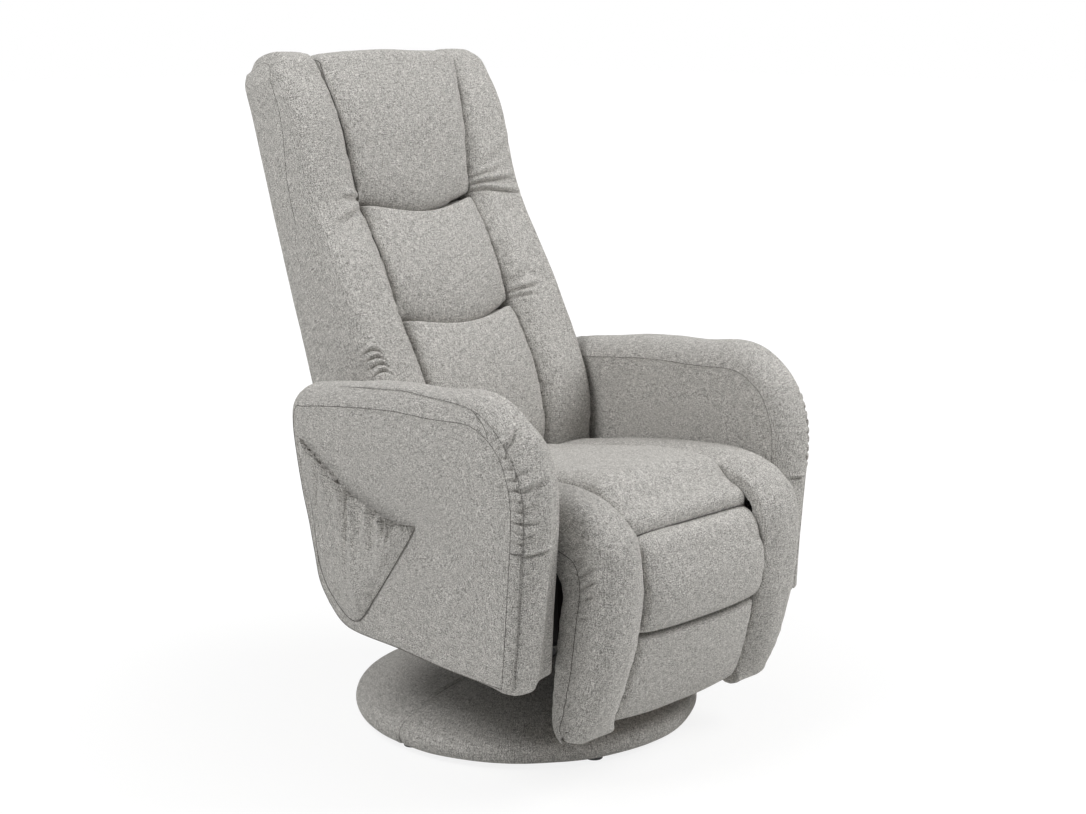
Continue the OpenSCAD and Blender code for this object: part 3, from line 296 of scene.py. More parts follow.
class Nodes:
    """A new material's node tree, and short ways to write it."""

    def __init__(self, name):
        self.mat = bpy.data.materials.new(name)
        self.mat.use_nodes = True
        self.tree = self.mat.node_tree
        self.bsdf = self.tree.nodes["Principled BSDF"]

    def put(self, x, socket):
        """Sets a socket to a number or a colour, or links an output to it."""
        if isinstance(x, (int, float)):
            socket.default_value = x
        elif isinstance(x, tuple):
            socket.default_value = (*x, 1)
        elif x is not None:
            self.tree.links.new(x, socket)

    def set(self, **values):
        """Sets the surface's inputs, with _ for a space in their names."""
        for key, x in values.items():
            self.put(x, self.bsdf.inputs[key.replace("_", " ")])

    def add(self, kind, **values):
        node = self.tree.nodes.new(kind)
        for key, value in values.items():
            if hasattr(node, key):
                setattr(node, key, value)
            else:
                self.put(value, node.inputs[key])
        return node

    def places(self, kind="Object"):
        return self.add("ShaderNodeTexCoord").outputs[kind]

    def math(self, op, *values):
        node = self.add("ShaderNodeMath", operation=op)
        for socket, x in zip(node.inputs, values):
            self.put(x, socket)
        return node.outputs[0]

    def sum(self, *terms):
        """Sum of the terms, each an output and its weight."""
        total = None
        for x, weight in terms:
            x = self.math("MULTIPLY", x, weight)
            total = x if total is None else self.math("ADD", total, x)
        return total

    def mix(self, factor, a, b):
        node = self.add("ShaderNodeMix", data_type="RGBA")
        for socket, x in ((node.inputs[0], factor), (node.inputs[6], a), (node.inputs[7], b)):
            self.put(x, socket)
        return node.outputs[2]

    def noise(self, vector, scale, detail=2.0, rough=0.5):
        return self.add("ShaderNodeTexNoise", Vector=vector, Scale=scale, Detail=detail, Roughness=rough).outputs["Fac"]

    def scaled(self, vector, scale):
        node = self.add("ShaderNodeMapping", Vector=vector)
        node.inputs["Scale"].default_value = scale
        return node.outputs[0]

    def ramp(self, factor, stops):
        node = self.add("ShaderNodeValToRGB", Fac=factor)
        e = node.color_ramp.elements
        while len(e) < len(stops):
            e.new(0.5)
        for el, (at, colour) in zip(e, stops):
            el.position = at
            el.color = (*colour, 1)
        return node.outputs[0]

    def bump(self, height, strength, distance, normal=None):
        node = self.add("ShaderNodeBump", Height=height, Strength=strength, Distance=distance, Normal=normal)
        return node.outputs[0]


YARN = 0.0013  # Width of the cloth's yarns, in metres
GRAIN = 0.050  # Half of the range of tones that the cloth's colours span


def cloth_material(name, dark, mid, light, sheen=0.25, use_uv=True):
    """Woven cloth of mixed yarns: a plain weave of slubby threads, with a salt-and-pepper grain."""
    m = Nodes(name)
    obj = m.places()
    cloth = m.places("UV") if use_uv else obj
    # Plain weave, from the crossing threads
    sep = m.add("ShaderNodeSeparateXYZ", Vector=cloth)
    k = math.pi / YARN
    waves = [m.math("SINE", m.math("MULTIPLY", sep.outputs[i], k)) for i in range(2)]
    weave = m.math("MULTIPLY", *waves)
    warp = m.noise(m.scaled(cloth, (1 / YARN, 0.10 / YARN, 1)), 1.0, 2, 0.6)
    weft = m.noise(m.scaled(cloth, (0.10 / YARN, 1 / YARN, 1)), 1.0, 2, 0.6)
    yarns = m.mix(m.math("GREATER_THAN", weave, 0.0), warp, weft)
    fleck = m.noise(obj, 820, 2, 0.60)
    flock = m.noise(obj, 1400, 1, 0.5)
    tone = m.sum((yarns, 0.30), (fleck, 0.44), (flock, 0.26))
    base = m.ramp(tone, [(0.5 - GRAIN, dark), (0.5, mid), (0.5 + GRAIN, light)])
    # Broad, faint change of tone, as dye and wear give
    stops = [(at, tuple(q * c for c in mid)) for at, q in ((0.35, 0.86), (0.65, 1.10))]
    broad = m.ramp(m.noise(obj, 7, 3, 0.55), stops)
    coarse = m.math("ADD", fleck, m.math("MULTIPLY", flock, 0.6))
    m.set(
        Base_Color=m.mix(0.12, base, broad), Roughness=0.92, Specular_IOR_Level=0.18,
        Sheen_Weight=sheen, Sheen_Roughness=0.55, Sheen_Tint=(1.0, 0.97, 0.93),
        Normal=m.bump(coarse, 0.55, 0.0007, m.bump(weave, 0.35, 0.00025)),
    )
    return m.mat


def metal_material(name, colour, metallic, rough, wear=0.1):
    """Painted or plated metal, or plastic, with a fine orange-peel skin and rubbed tones."""
    m = Nodes(name)
    obj = m.places()
    n = m.noise(obj, 60, 4, 0.6)
    a, b = tuple(c * (1 - wear) for c in colour), tuple(min(1, c * (1 + wear) + 0.01) for c in colour)
    m.set(
        Base_Color=m.ramp(n, [(0.3, a), (0.7, b)]), Metallic=metallic,
        Roughness=m.math("ADD", m.math("MULTIPLY", n, 0.22), rough - 0.11),
        Normal=m.bump(m.noise(obj, 1400, 1, 0.5), 0.25, 0.0002),
    )
    return m.mat


def wood_material(name, dark, light):
    """Plywood and rails with a straight grain along the longest direction."""
    m = Nodes(name)
    obj = m.places()
    grain = m.noise(m.scaled(obj, (90, 90, 9)), 1.0, 5, 0.62)
    fine = m.noise(m.scaled(obj, (500, 500, 30)), 1.0, 2, 0.5)
    tone = m.sum((grain, 0.75), (fine, 0.25))
    m.set(Base_Color=m.ramp(tone, [(0.34, dark), (0.66, light)]), Roughness=0.68, Normal=m.bump(tone, 0.3, 0.0004))
    return m.mat


UPHOLSTERY = cloth_material("Upholstery", (0.125, 0.120, 0.111), (0.395, 0.383, 0.361), (0.860, 0.838, 0.800))
BLACK_CLOTH = cloth_material(
    "Black_cloth", (0.010, 0.010, 0.011), (0.022, 0.022, 0.024), (0.05, 0.05, 0.052), sheen=0.1, use_uv=False
)
# Dark seam colour: painted shade, standing for the shadow in the seams' grooves
DARK_THREAD_SHADE = cloth_material(
    "Thread_shade", (0.070, 0.066, 0.061), (0.120, 0.114, 0.106), (0.19, 0.18, 0.17), sheen=0.1, use_uv=False
)
MATERIALS = {
    "upholstery": UPHOLSTERY,
    "black_cloth": BLACK_CLOTH,
    "base_foam": cloth_material("Foam", (0.22, 0.22, 0.21), (0.32, 0.32, 0.31), (0.42, 0.42, 0.41), use_uv=False),
    "frame_wood": wood_material("Frame_wood", (0.42, 0.28, 0.15), (0.66, 0.49, 0.30)),
    "black_steel": metal_material("Black_steel", (0.028, 0.028, 0.030), 0.0, 0.42, wear=0.25),
    "zinc_steel": metal_material("Zinc_steel", (0.55, 0.56, 0.57), 1.0, 0.38, wear=0.12),
    "nylon": metal_material("Nylon", (0.74, 0.72, 0.64), 0.0, 0.5, wear=0.05),
    "black_plastic": metal_material("Black_plastic", (0.022, 0.022, 0.024), 0.0, 0.48, wear=0.2),
}
# Near-black wood: painted shade for the seat's rails, which stand in the dark gaps under the seat
RAIL_SHADE_WOOD = wood_material("Rail_shade_wood", (0.016, 0.015, 0.014), (0.034, 0.031, 0.029))
for part in RECORD["subparts"]:
    materials = NODES[part["node"]].data.materials
    materials.clear()
    # The seat's rails are coloured near black as painted shade, for they show in the gaps beside the arms
    rail_in_shade = part["node"].startswith("side_rail")
    materials.append(RAIL_SHADE_WOOD if rail_in_shade else MATERIALS[part["material_slot"]])

# Where a cover bends from the carriage to the leg rest, in metres
SEAT_BEND = {"start": (0, -0.325, 0.420), "end": (0, -0.378, 0.350)}
ROLL_BEND = {"start": (0, -0.290, 0.445), "end": (0, -0.385, 0.325)}


def dress(obj, body, nodes, slot="upholstery", bend=None):
    """Gives a piece its material and hides the solids that it stands for. It ties the piece to its body, except with
    bend, for a piece that spans to the leg rest, which keeps its place on no body.
    """
    obj.data.materials.append(MATERIALS[slot])
    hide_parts(*nodes)
    if bend:
        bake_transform(obj)
    else:
        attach(obj, body)
    return obj


# A padded piece: for each share u across it, a path of its face and one of its underside in a side view


def pad(us, face, under, place, v, start=None, end=None, low=None, high=None, relief=None, wall=None):
    """Loops of a padded piece, whose first len(v) points are its face. face(u) and under(u) give control points in
    the side view, place(u, points) their places in the row frame, and v the shares of the points along them. start,
    end, low and high are (width, depth) of the rolled edges at the path's two ends and at the first and last u.
    relief(u, points, distance, from the first u's edge, from the last) adds to the face.
    wall is (foot, place, x_out, x_in, bulge): a side wall from the last u's edge down to the path of foot."""
    m = len(v)
    paths = []
    for u in us:
        f = along(face(u), v)
        t = np.gradient(f, axis=0)
        n = np.stack([-t[:, 1], t[:, 0]], -1) / np.maximum(np.linalg.norm(t, axis=1)[:, None], 1e-9)
        paths.append((f, n, lengths(f)))
    xs = np.array([place(u, p[0])[:, 0] for u, p in zip(us, paths)])
    from_low, from_high = abs(xs - xs[0]), abs(xs[-1] - xs)
    loops = []
    for k, (u, (f, n, d)) in enumerate(zip(us, paths)):
        drop = np.zeros(m)
        for edge, dist in ((start, d), (end, d[-1] - d), (low, from_low[k]), (high, from_high[k])):
            if edge:
                drop = np.hypot(drop, roll(dist, *edge))
        if relief is not None:
            drop = drop - relief(u, f, d, from_low[k], from_high[k])
        w = place(u, along(under(u), v))
        if wall:
            w[:, 0] = np.clip(w[:, 0], -wall[3], wall[3])
        loops.append(np.concatenate([place(u, f + n * drop[:, None]), w[::-1]]))
    if wall:
        foot, put, x_out, x_in, bulge = wall
        edge, inner = loops[-1][:m], loops[-1][m:][::-1]
        side = np.sign(edge[:, 0].mean())
        foot = put(along(foot, v))
        for q in (0.06, 0.16, 0.30, 0.46, 0.62, 0.78, 0.90, 0.97, 1.0):
            outer = edge + (foot - edge) * q
            outer[:, 0] = side * (x_out + bulge * np.sin(np.pi * q) - 3.0 * max(0, q - 0.85) / 0.15)
            hidden = inner + (foot - inner) * q
            hidden[:, 0] = side * x_in
            loops.append(np.concatenate([outer, hidden[::-1]]))
    return np.array(loops)


def wrinkle(loops, count, amount, seed, scale, mask=1.0):
    """Moves the first count points of each loop along the surface's normals by noise, where mask lets it."""
    out = loops.copy()
    d = noise(loops[:, :count] / np.asarray(scale, float), seed) * amount * mask
    out[:, :count] += grid_normals(loops)[:, :count] * d[..., None]
    return out


def side_mask(us, half, reach):
    """Shares that fade from a pad's two sides, which lie half from its middle."""
    return np.exp(-half * (1 - np.abs(us))[:, None] / reach)


# Back

LEAN = 18  # Degrees
BACK_HINGE = np.array([130.0, 370.0])
HINGE_ON_BACK = np.array([76.0, 0.0])
SEAM = [0.983, 0.993, 0.943, 0.860, 0.753, 0.677, 0.637, 0.607, 0.576]
RISE = [0.6, 1, 0.95, 0.86, 0.8, 0.5, 0.72, 0.86, 0.4]
PAD_BASE = 31.4
MID_SEAM, HEAD_SEAM, TOP = 298.0, 501.0, 738.0


def seam_share(s):
    """Share of the way up the side seams."""
    return (np.asarray(s, float) - 48) / 701


def seam_t(s):
    return 150 * spline(SEAM, seam_share(s))


def rise_s(s):
    return 36 * spline(RISE, seam_share(s))


# How far the seams between the panels and the bolsters stand above that line, from the lowest to the top
CONTACT = [0, 7, 12, 9, -2, 6, 6, -4, 3, 15, 18, 12]


def contact(s):
    return spline(CONTACT, seam_share(s))


def flare(s):
    return 26 * np.maximum(0, (np.asarray(s, float) - HEAD_SEAM) / 248) ** 1.2


def on_back(x, t, s):
    """Points t off the back's plane and s up along it."""
    d = HINGE_ON_BACK[0] - t
    y, z = BACK_HINGE
    return points(x, y + d * cosd(LEAN) + s * sind(LEAN), z + s * cosd(LEAN) - d * sind(LEAN))


def droop(u):
    return arch(u, 24)


def panel_place(u, p):
    return on_back(u * (126 + flare(p[:, 1])), p[:, 0], p[:, 1])


def face_rows(u, low, high, n=9):
    s = np.linspace(low, high, n)
    return points(seam_t(s) + contact(s) + 15 + arch(u, 5), s)


def back_panels():
    """The back's three panels, with the cross seams between them."""
    us = 2 * dense(57, 0.25) - 1

    def lower_face(u):
        low = [HINGE_ON_BACK + 70 * spoke(a) for a in (-125, -95, -65, -35, -8, 14)]
        return np.concatenate([low, face_rows(u, 70, MID_SEAM - droop(u) - 0.5, 6)])

    def lower_under(u):
        s = np.linspace(-22, MID_SEAM - droop(u) - 0.5, 9)
        return points(PAD_BASE, s)

    def mid_face(u):
        return face_rows(u, MID_SEAM - droop(u) + 0.5, HEAD_SEAM - droop(u) - 0.5, 7)

    def mid_under(u):
        s = np.linspace(MID_SEAM - droop(u), HEAD_SEAM - droop(u), 5)
        return points(PAD_BASE, s)

    def head_face(u):
        body = face_rows(u, HEAD_SEAM - droop(u) + 0.5, TOP - 16, 9)
        end, lift = body[-1, 0], arch(u, 4)
        over = [[q * end, TOP + up + lift] for q, up in ((0.93, 9), (0.66, 22), (0.3, 24))]
        return np.concatenate([body, over, [[4, TOP + 14]]])

    def head_under(u):
        s = np.linspace(HEAD_SEAM - droop(u), TOP - 10, 6)
        return np.concatenate([points(PAD_BASE, s), [[PAD_BASE / 2, TOP], [4, TOP]]])

    for name, node, face, under, start, end, seed in (
        ("lower_cushion", "lower_panel", lower_face, lower_under, None, (11, 18), 11),
        ("middle_cushion", "middle_panel", mid_face, mid_under, (54, 35), (11, 18), 12),
        ("head_cushion", "head_panel", head_face, head_under, (60, 37), None, 13),
    ):

        def relief(u, f, d, a, b):
            side = np.minimum(a, b)
            top = ramp(f[:, 1] - TOP + 30, 40)
            out = -(9 - 4 * top) * (1 - rise_from(side, 30)) + top * 0.4 * roll(side, 8, 8)
            # The corners at the cross seams are pulled flat
            corner = np.exp(-side / 16)
            if start:
                out = out - 3.0 * np.exp(-d / 6) + 0.8 * corner * roll(d, *start)
            if end:
                out = out - corner * roll(d[-1] - d, 30, 9)
            return out

        def step(p):
            d = lengths(p)
            from_ends = np.minimum(d if start else 99, d[-1] - d if end else 99)
            return np.clip(1.4 + from_ends / 12, 1.4, 4.0)

        v = paced(face(0.5), step)
        m = len(v)
        loops = pad(us, face, under, panel_place, v, start=start, end=end, low=(8, 8), high=(8, 8), relief=relief)
        middle = lengths(loops[len(us) // 2, :m])
        loops = wrinkle(loops, m, 1.4, seed, (70, 70, 60))
        # Gathers that run up from the lower seam and in from the side seams
        mask = 0.9 * side_mask(us, 126, 13) + (np.exp(-middle / 17) if start else 0)
        loops = wrinkle(loops, m, 1.5, seed + 5, (8, 40, 10), mask)
        dress(loft(name, loops), "back", [node])
        first = 0 if start else int(m * 0.3)
        for row in (0, -1):
            thread_shade_line("back", loops[row, first : m - (0 if end else 12)] + [0, -0.7, 0.2], 0.75)


# Creases in the right and left bolster: height, slope across it, size, width, and from where to where across it
BACK_CREASES = {
    1: (
        (HEAD_SEAM + 1, -17, 6.0, 2.8, -0.2, 1.0), (HEAD_SEAM + 10, 6, 6.0, 3.0, -0.2, 0.9),
        (HEAD_SEAM + 21, 22, 4.0, 3.2, -0.2, 0.7), (HEAD_SEAM + 30, 52, 2.4, 6.0, 0.1, 1.1),
        (HEAD_SEAM - 46, 8, 2.2, 6.0, 0.3, 0.9), (MID_SEAM + 2, -8, 4.5, 2.8, -0.2, 0.45),
        (MID_SEAM + 10, 14, 5.5, 3.0, -0.2, 0.55), (MID_SEAM + 30, 20, 2.6, 6.0, 0.0, 0.6),
        (HEAD_SEAM - 110, 4, 1.8, 5.0, -0.1, 0.4),
    ),
    -1: (
        (HEAD_SEAM + 3, 0, 5.5, 3.4, -0.2, 0.5), (HEAD_SEAM - 12, -40, 3.6, 5.0, 0.0, 0.8),
        (MID_SEAM + 2, 6, 4.0, 3.6, -0.2, 0.3),
    ),
}
TAG = {-1: "left", 1: "right"}


def back_bolster(side):
    """One of the two long rolls beside the panels, down to its round end over the arm."""
    x_out = 238.0
    us = dense(45, 0.3)
    round_hinge = [HINGE_ON_BACK + 24 * spoke(a) for a in (-38, -18, 2, 30, 66)]

    def height(c, s):
        """Height above the seams' line: the crest, with the inner side falling to the panels' seam."""
        crest = rise_s(s) * (1 - 0.05 * c**3)
        low = contact(s) - 1
        return low + (np.maximum(crest, low + 4) - low) * rise_from(c * (x_out - 126.4 - flare(s)), 34)

    def face(c):
        low = [HINGE_ON_BACK + (85 - 8 * (1 - rise_from(c * 111, 34))) * spoke(a) for a in (-38, -18, 2, 22)]
        s = np.linspace(80, TOP - 18, 18)
        t = seam_t(s) + height(c, s)
        over = [[q * t[-1], TOP + up] for q, up in ((0.95, 8), (0.74, 26), (0.42, 33), (0.18, 31))]
        return np.concatenate([low, points(t, s), over, [[4, TOP + 20]]])

    def under(c):
        top = [[20, TOP + 0.4], [4, TOP + 0.4]]
        return np.concatenate([round_hinge, [[52.0, 52.0]], points(PAD_BASE, np.linspace(110, TOP, 10)), top])

    def place(c, p):
        low = 126.4 + flare(p[:, 1])
        return on_back(side * (low + c * (x_out - low)), p[:, 0], p[:, 1])

    def relief(c, f, d, a, b):
        """Creases where the middle panels' seams pull at the bolster, and where it bends over the arm."""
        s = f[:, 1]
        out = np.zeros(len(f))
        near, far, lip, off = (0.2, 0.3, 0.75, 2.6) if side > 0 else (0.15, 0.25, 0.7, 2.4)
        for at, lean, size, w, low, high in BACK_CREASES[side]:
            fade = ramp(c - low, near) * ramp(high - c, far)
            out += fade * size * crease(s - at - lean * c, w, lip, off * w, 1.6 * w)
        if side < 0:
            # Four short puckers just above the arm
            for k, at in enumerate((246.0, 233.0, 221.0, 209.0)):
                mid = 0.93 - 0.02 * k
                line = s - at + 26 * (c - mid) ** 2 / 0.06 - 4 * (c - mid)
                fade = bump(c - mid, 0.17 if k < 3 else 0.12)
                out += fade * 5.6 * crease(line, 2.3, 0.6, 6.0, 4.0)
        return out - roll(a, 7, 8)

    def step(p):
        s = p[:, 1]
        near = np.minimum(abs(s - HEAD_SEAM), abs(s - MID_SEAM))
        if side < 0:
            near = np.minimum(near, np.maximum(abs(s - 228) - 32, 0))
        return np.clip(1.6 + np.maximum(near - 22, 0) / 10, 1.6, 4.2)

    v = paced(face(0.7), step)
    m = len(v)
    up = points(3.6, np.linspace(110, TOP + 4, 11))
    foot = np.concatenate([round_hinge, [[44.0, 58.0], [14.0, 84.0]], up, [[3.6, TOP + 10]]])
    wall = (foot, lambda p: on_back(side * x_out, p[:, 0], p[:, 1]), x_out, 218.0, 2.5)
    loops = pad(us, face, under, place, v, high=(22, 17), relief=relief, wall=wall)
    k = len(loops)
    # The wall's top corner is rounded
    y, z = BACK_HINGE
    s = (loops[..., 1] - y) * sind(LEAN) + (loops[..., 2] - z) * cosd(LEAN)
    round_off = ramp(s - TOP + 22, 38) ** 2 * ramp(abs(loops[..., 0]) - 190, 48)
    loops[..., 0] -= side * 17 * round_off
    across_k = np.concatenate([us, np.ones(k - len(us))])[:, None]
    loops = wrinkle(loops, m, 1.8, 21 + side, (60, 80, 70))
    loops = wrinkle(loops, m, 2.6, 31 + side, (60, 9, 11), np.exp(-across_k * 112 / 12))
    # The wall's seam starts in a tuck at the top and runs down the wall
    rows = np.arange(len(us) - 1, k)
    high = np.flatnonzero((v > 0.55) & (v < 0.945))
    drop = 1 - (v[high] - 0.55) / 0.395
    q = 3.6 * np.clip(drop * 1.6, 0, 1) ** 0.8
    i = np.minimum(q.astype(int), len(rows) - 2)
    w = (q - i)[:, None]
    seam = loops[rows[i], high] * (1 - w) + loops[rows[i + 1], high] * w
    thread_shade_line("back", seam[int(len(seam) * 0.25) :] + np.array([0.1 * side, 0, 0]), 0.45)
    dress(loft(f"back_roll_{TAG[side]}", loops), "back", [f"back_bolster_{TAG[side]}"])


def back_rear():
    """The rear cover of the back, with its seam all round."""
    us = 2 * dense(37, 0.4) - 1
    v = dense(60, 0.4)
    loops = []
    for u in us:
        low, high = -8.0, TOP + 16 - 26 * max(0.0, (abs(u) - 0.72) / 0.28) ** 2
        s = low + (high - low) * v
        edge = np.hypot(roll((1 - abs(u)) * 233, 16, 5), roll(np.minimum(s - low, high - s), 16, 5))
        t = arch(u, -3.4) * np.sin(np.pi * v) ** 0.5 + edge - 1
        pinch = 22 * np.maximum(0, (s - high + 22) / 22) ** 3
        x = u * (233.5 - pinch)
        outer = on_back(x, np.minimum(t, 3.2), s)
        inner = on_back(x, 4.0, s)
        loops.append(np.concatenate([outer, inner[::-1]]))
    loops = wrinkle(np.array(loops), len(v), 1.0, 51, (90, 90, 80))
    dress(loft("back_rear_cover", loops), "back", ["back_cover"])
    thread_shade_line("back", np.array(loops)[:, len(v) - 4] - [0, -0.6, 0], 0.5)


# Seat and leg rest

LEG_LEAN = 8.5  # Degrees
FOOT_HINGE = np.array([-345.0, 385.0])
# Shares of the seat's depth along its underside
SEAT_UNDER = (-0.20, -0.10, 0.04, 0.18, 0.32, 0.46, 0.58, 0.69, 0.76)


def seat_z(y):
    return 303.5 + math.tan(math.radians(8.6)) * (40 - np.asarray(y, float))


def seat_point(a, b):
    y = -345.0 * a
    return np.array([y, float(seat_z(y)) + 130 * b])


def arc(c, r, a, b, n):
    return [c + r * spoke(a + (b - a) * i / n) for i in range(n + 1)]


CALF = [0.62, 0.84, 0.93, 0.965, 0.975, 0.95, 0.89, 0.80, 0.66, 0.44]
LEG_RISE = [1.05, 1.05, 1, 0.92, 0.85, 0.82, 0.8, 0.8]


def leg_t(w):
    return 56 * spline(CALF, (np.asarray(w, float) - 10) / 284)


def leg_rise(w):
    return 17 * spline(LEG_RISE, np.asarray(w, float) / 280)


def calf_x(w):
    return 138 + 12 * np.maximum(0, np.asarray(w, float) / 300) ** 1.5


def from_leg(t, w):
    """Points of the side view that stand t off the leg rest's plane and w down it."""
    y, z = FOOT_HINGE
    return points(y - t * cosd(LEG_LEAN) + w * sind(LEG_LEAN), z - t * sind(LEG_LEAN) - w * cosd(LEG_LEAN))


def down_leg(p):
    """How far down the leg rest the points p of the side view lie."""
    y, z = FOOT_HINGE
    return -(p[:, 1] - z) * cosd(LEG_LEAN) + (p[:, 0] - y) * sind(LEG_LEAN)


def dip(u):
    return arch(u, 5)


def side_view(x, p):
    return points(x, *p.T)


def bend_under(last_w, r=24, lift=0):
    """Underside from the seat's rear round the leg rest's hinge at the distance r and down to last_w; lift raises
    it in front, over the push rods."""
    seat = [seat_point(a, 0) + [0, lift * ramp(a - 0.1, 0.3)] for a in SEAT_UNDER]
    bend = [np.array([-300.0, 374.0 + 0.6 * lift])] + [FOOT_HINGE + r * spoke(a) for a in (70, 115, 160, 205, 245)]
    return np.concatenate([seat, bend, from_leg(0.4, np.linspace(44, last_w, 5))])


KNEE_SEAM = np.array([-365.0, 403.0])


def seat_cushion():
    """The seat pad and the knee pad: one cover with a seam over the hinge."""
    us = 2 * dense(61, 0.2) - 1

    def rear(u, *angles):
        return arc(BACK_HINGE, 73 if abs(u) < 0.9 else 88, *angles)

    def face(u):
        lift = dip(u)
        top = [seat_point(a, b) + [0, lift] for a, b in (
            (-0.165, 0.985), (-0.06, 1.0), (0.13, 1.0), (0.33, 1.0), (0.55, 0.995), (0.72, 0.955), (0.85, 0.86)
        )]
        over = [np.array([-327.0, 437.0 + lift]), np.array([-349.0, 420.0 + 0.6 * lift]), KNEE_SEAM + [0, 0.3 * lift],
                np.array([-378.5 - 0.5 * lift, 384.0])]
        w = np.linspace(24, 134 + dip(u) - 0.5, 6)
        down = from_leg(leg_t(w) + dip(u) + 15 * np.sin(np.pi * ramp(w, 136)) ** 0.6, w)
        return np.concatenate([rear(u, 176, 150, 3), top, over, down])

    def under(u):
        return np.concatenate([rear(u, 188, 218, 2), bend_under(134 + dip(u), 11)])

    def place(u, p):
        w = down_leg(p)
        return side_view(u * np.where(w > 0, calf_x(w), 138.0), p)

    def seam_at(f, d):
        """Distance along the path to the seam over the knee."""
        i = min(max(int(np.argmin(np.linalg.norm(f - KNEE_SEAM, axis=1))), 1), len(f) - 2)
        way = f[i + 1] - f[i - 1]
        return d[i - 1] + (d[i + 1] - d[i - 1]) * float((KNEE_SEAM - f[i - 1]) @ way / (way @ way))

    def relief(u, f, d, a, b):
        e = d - seam_at(f, d)
        above = np.where(e < 0, (1 - ramp(-e, 18)) ** 2, 0)
        below = np.where(e >= 0, np.exp(-np.maximum(e, 0) / 12), 0)
        fall = np.interp(-f[:, 0], [-60, 60, 150, 240, 320, 350, 366], [6, 8, 12, 14, 8, 3, 2])
        fall = np.where(e > 0, 4, fall)
        side = -fall * (1 - rise_from(np.minimum(a, b), 42))
        return side - 9.0 * above - 9.0 * below - 2.5 * bump(e, 1.7) + 3.0 * bump(e - 30, 18) + 3.5 * bump(e + 22, 18)

    def step(p):
        d = lengths(p)
        e = abs(d - seam_at(p, d))
        return np.clip(1.0 + np.maximum(e - 8, 0) / 9, 1.0, 4.4)

    v = paced(face(0.5), step)
    m = len(v)
    loops = pad(us, face, under, place, v, end=(27, 13), low=(8, 8), high=(8, 8), relief=relief)
    loops = wrinkle(loops, m, 1.6, 61, (80, 70, 80))
    loops = wrinkle(loops, m, 1.6, 62, (40, 11, 12), side_mask(us, 138, 13))
    seam = []
    for k, u in enumerate(us):
        f = along(face(u), v)
        d = lengths(f)
        seam.append([np.interp(seam_at(f, d), d, loops[k, :m, i]) for i in range(3)])
    # The knee seam gets a dark line, painted shade of its groove under the seat's lip
    thread_shade_line("carriage_leg", np.array(seam[1:-1]) + [0, -1.0, 0.8], 0.95)
    dress(loft("seat_cushion", loops), "carriage", ["seat_pad", "knee_pad"], bend=SEAT_BEND)


def calf_cushion():
    """The calf pad, below the knee pad."""
    us = 2 * dense(49, 0.3) - 1

    def face(u):
        w = np.linspace(134 + dip(u) + 0.5, 294 + dip(u), 8)
        return from_leg(leg_t(w) + arch(u, 9), w)

    def under(u):
        return from_leg(0.4, np.linspace(134 + dip(u), 294 + dip(u), 5))

    def place(u, p):
        return side_view(u * calf_x(down_leg(p)), p)

    v = dense(90, 0.35)
    loops = pad(us, face, under, place, v, start=(8, 14), end=(26, 22), low=(15, 15), high=(15, 15))
    loops = wrinkle(loops, len(v), 1.4, 72, (70, 60, 60))
    loops = wrinkle(loops, len(v), 1.6, 75, (40, 12, 10), side_mask(us, 138, 12))
    dress(loft("calf_cushion", loops), "leg_rest", ["calf_pad"])


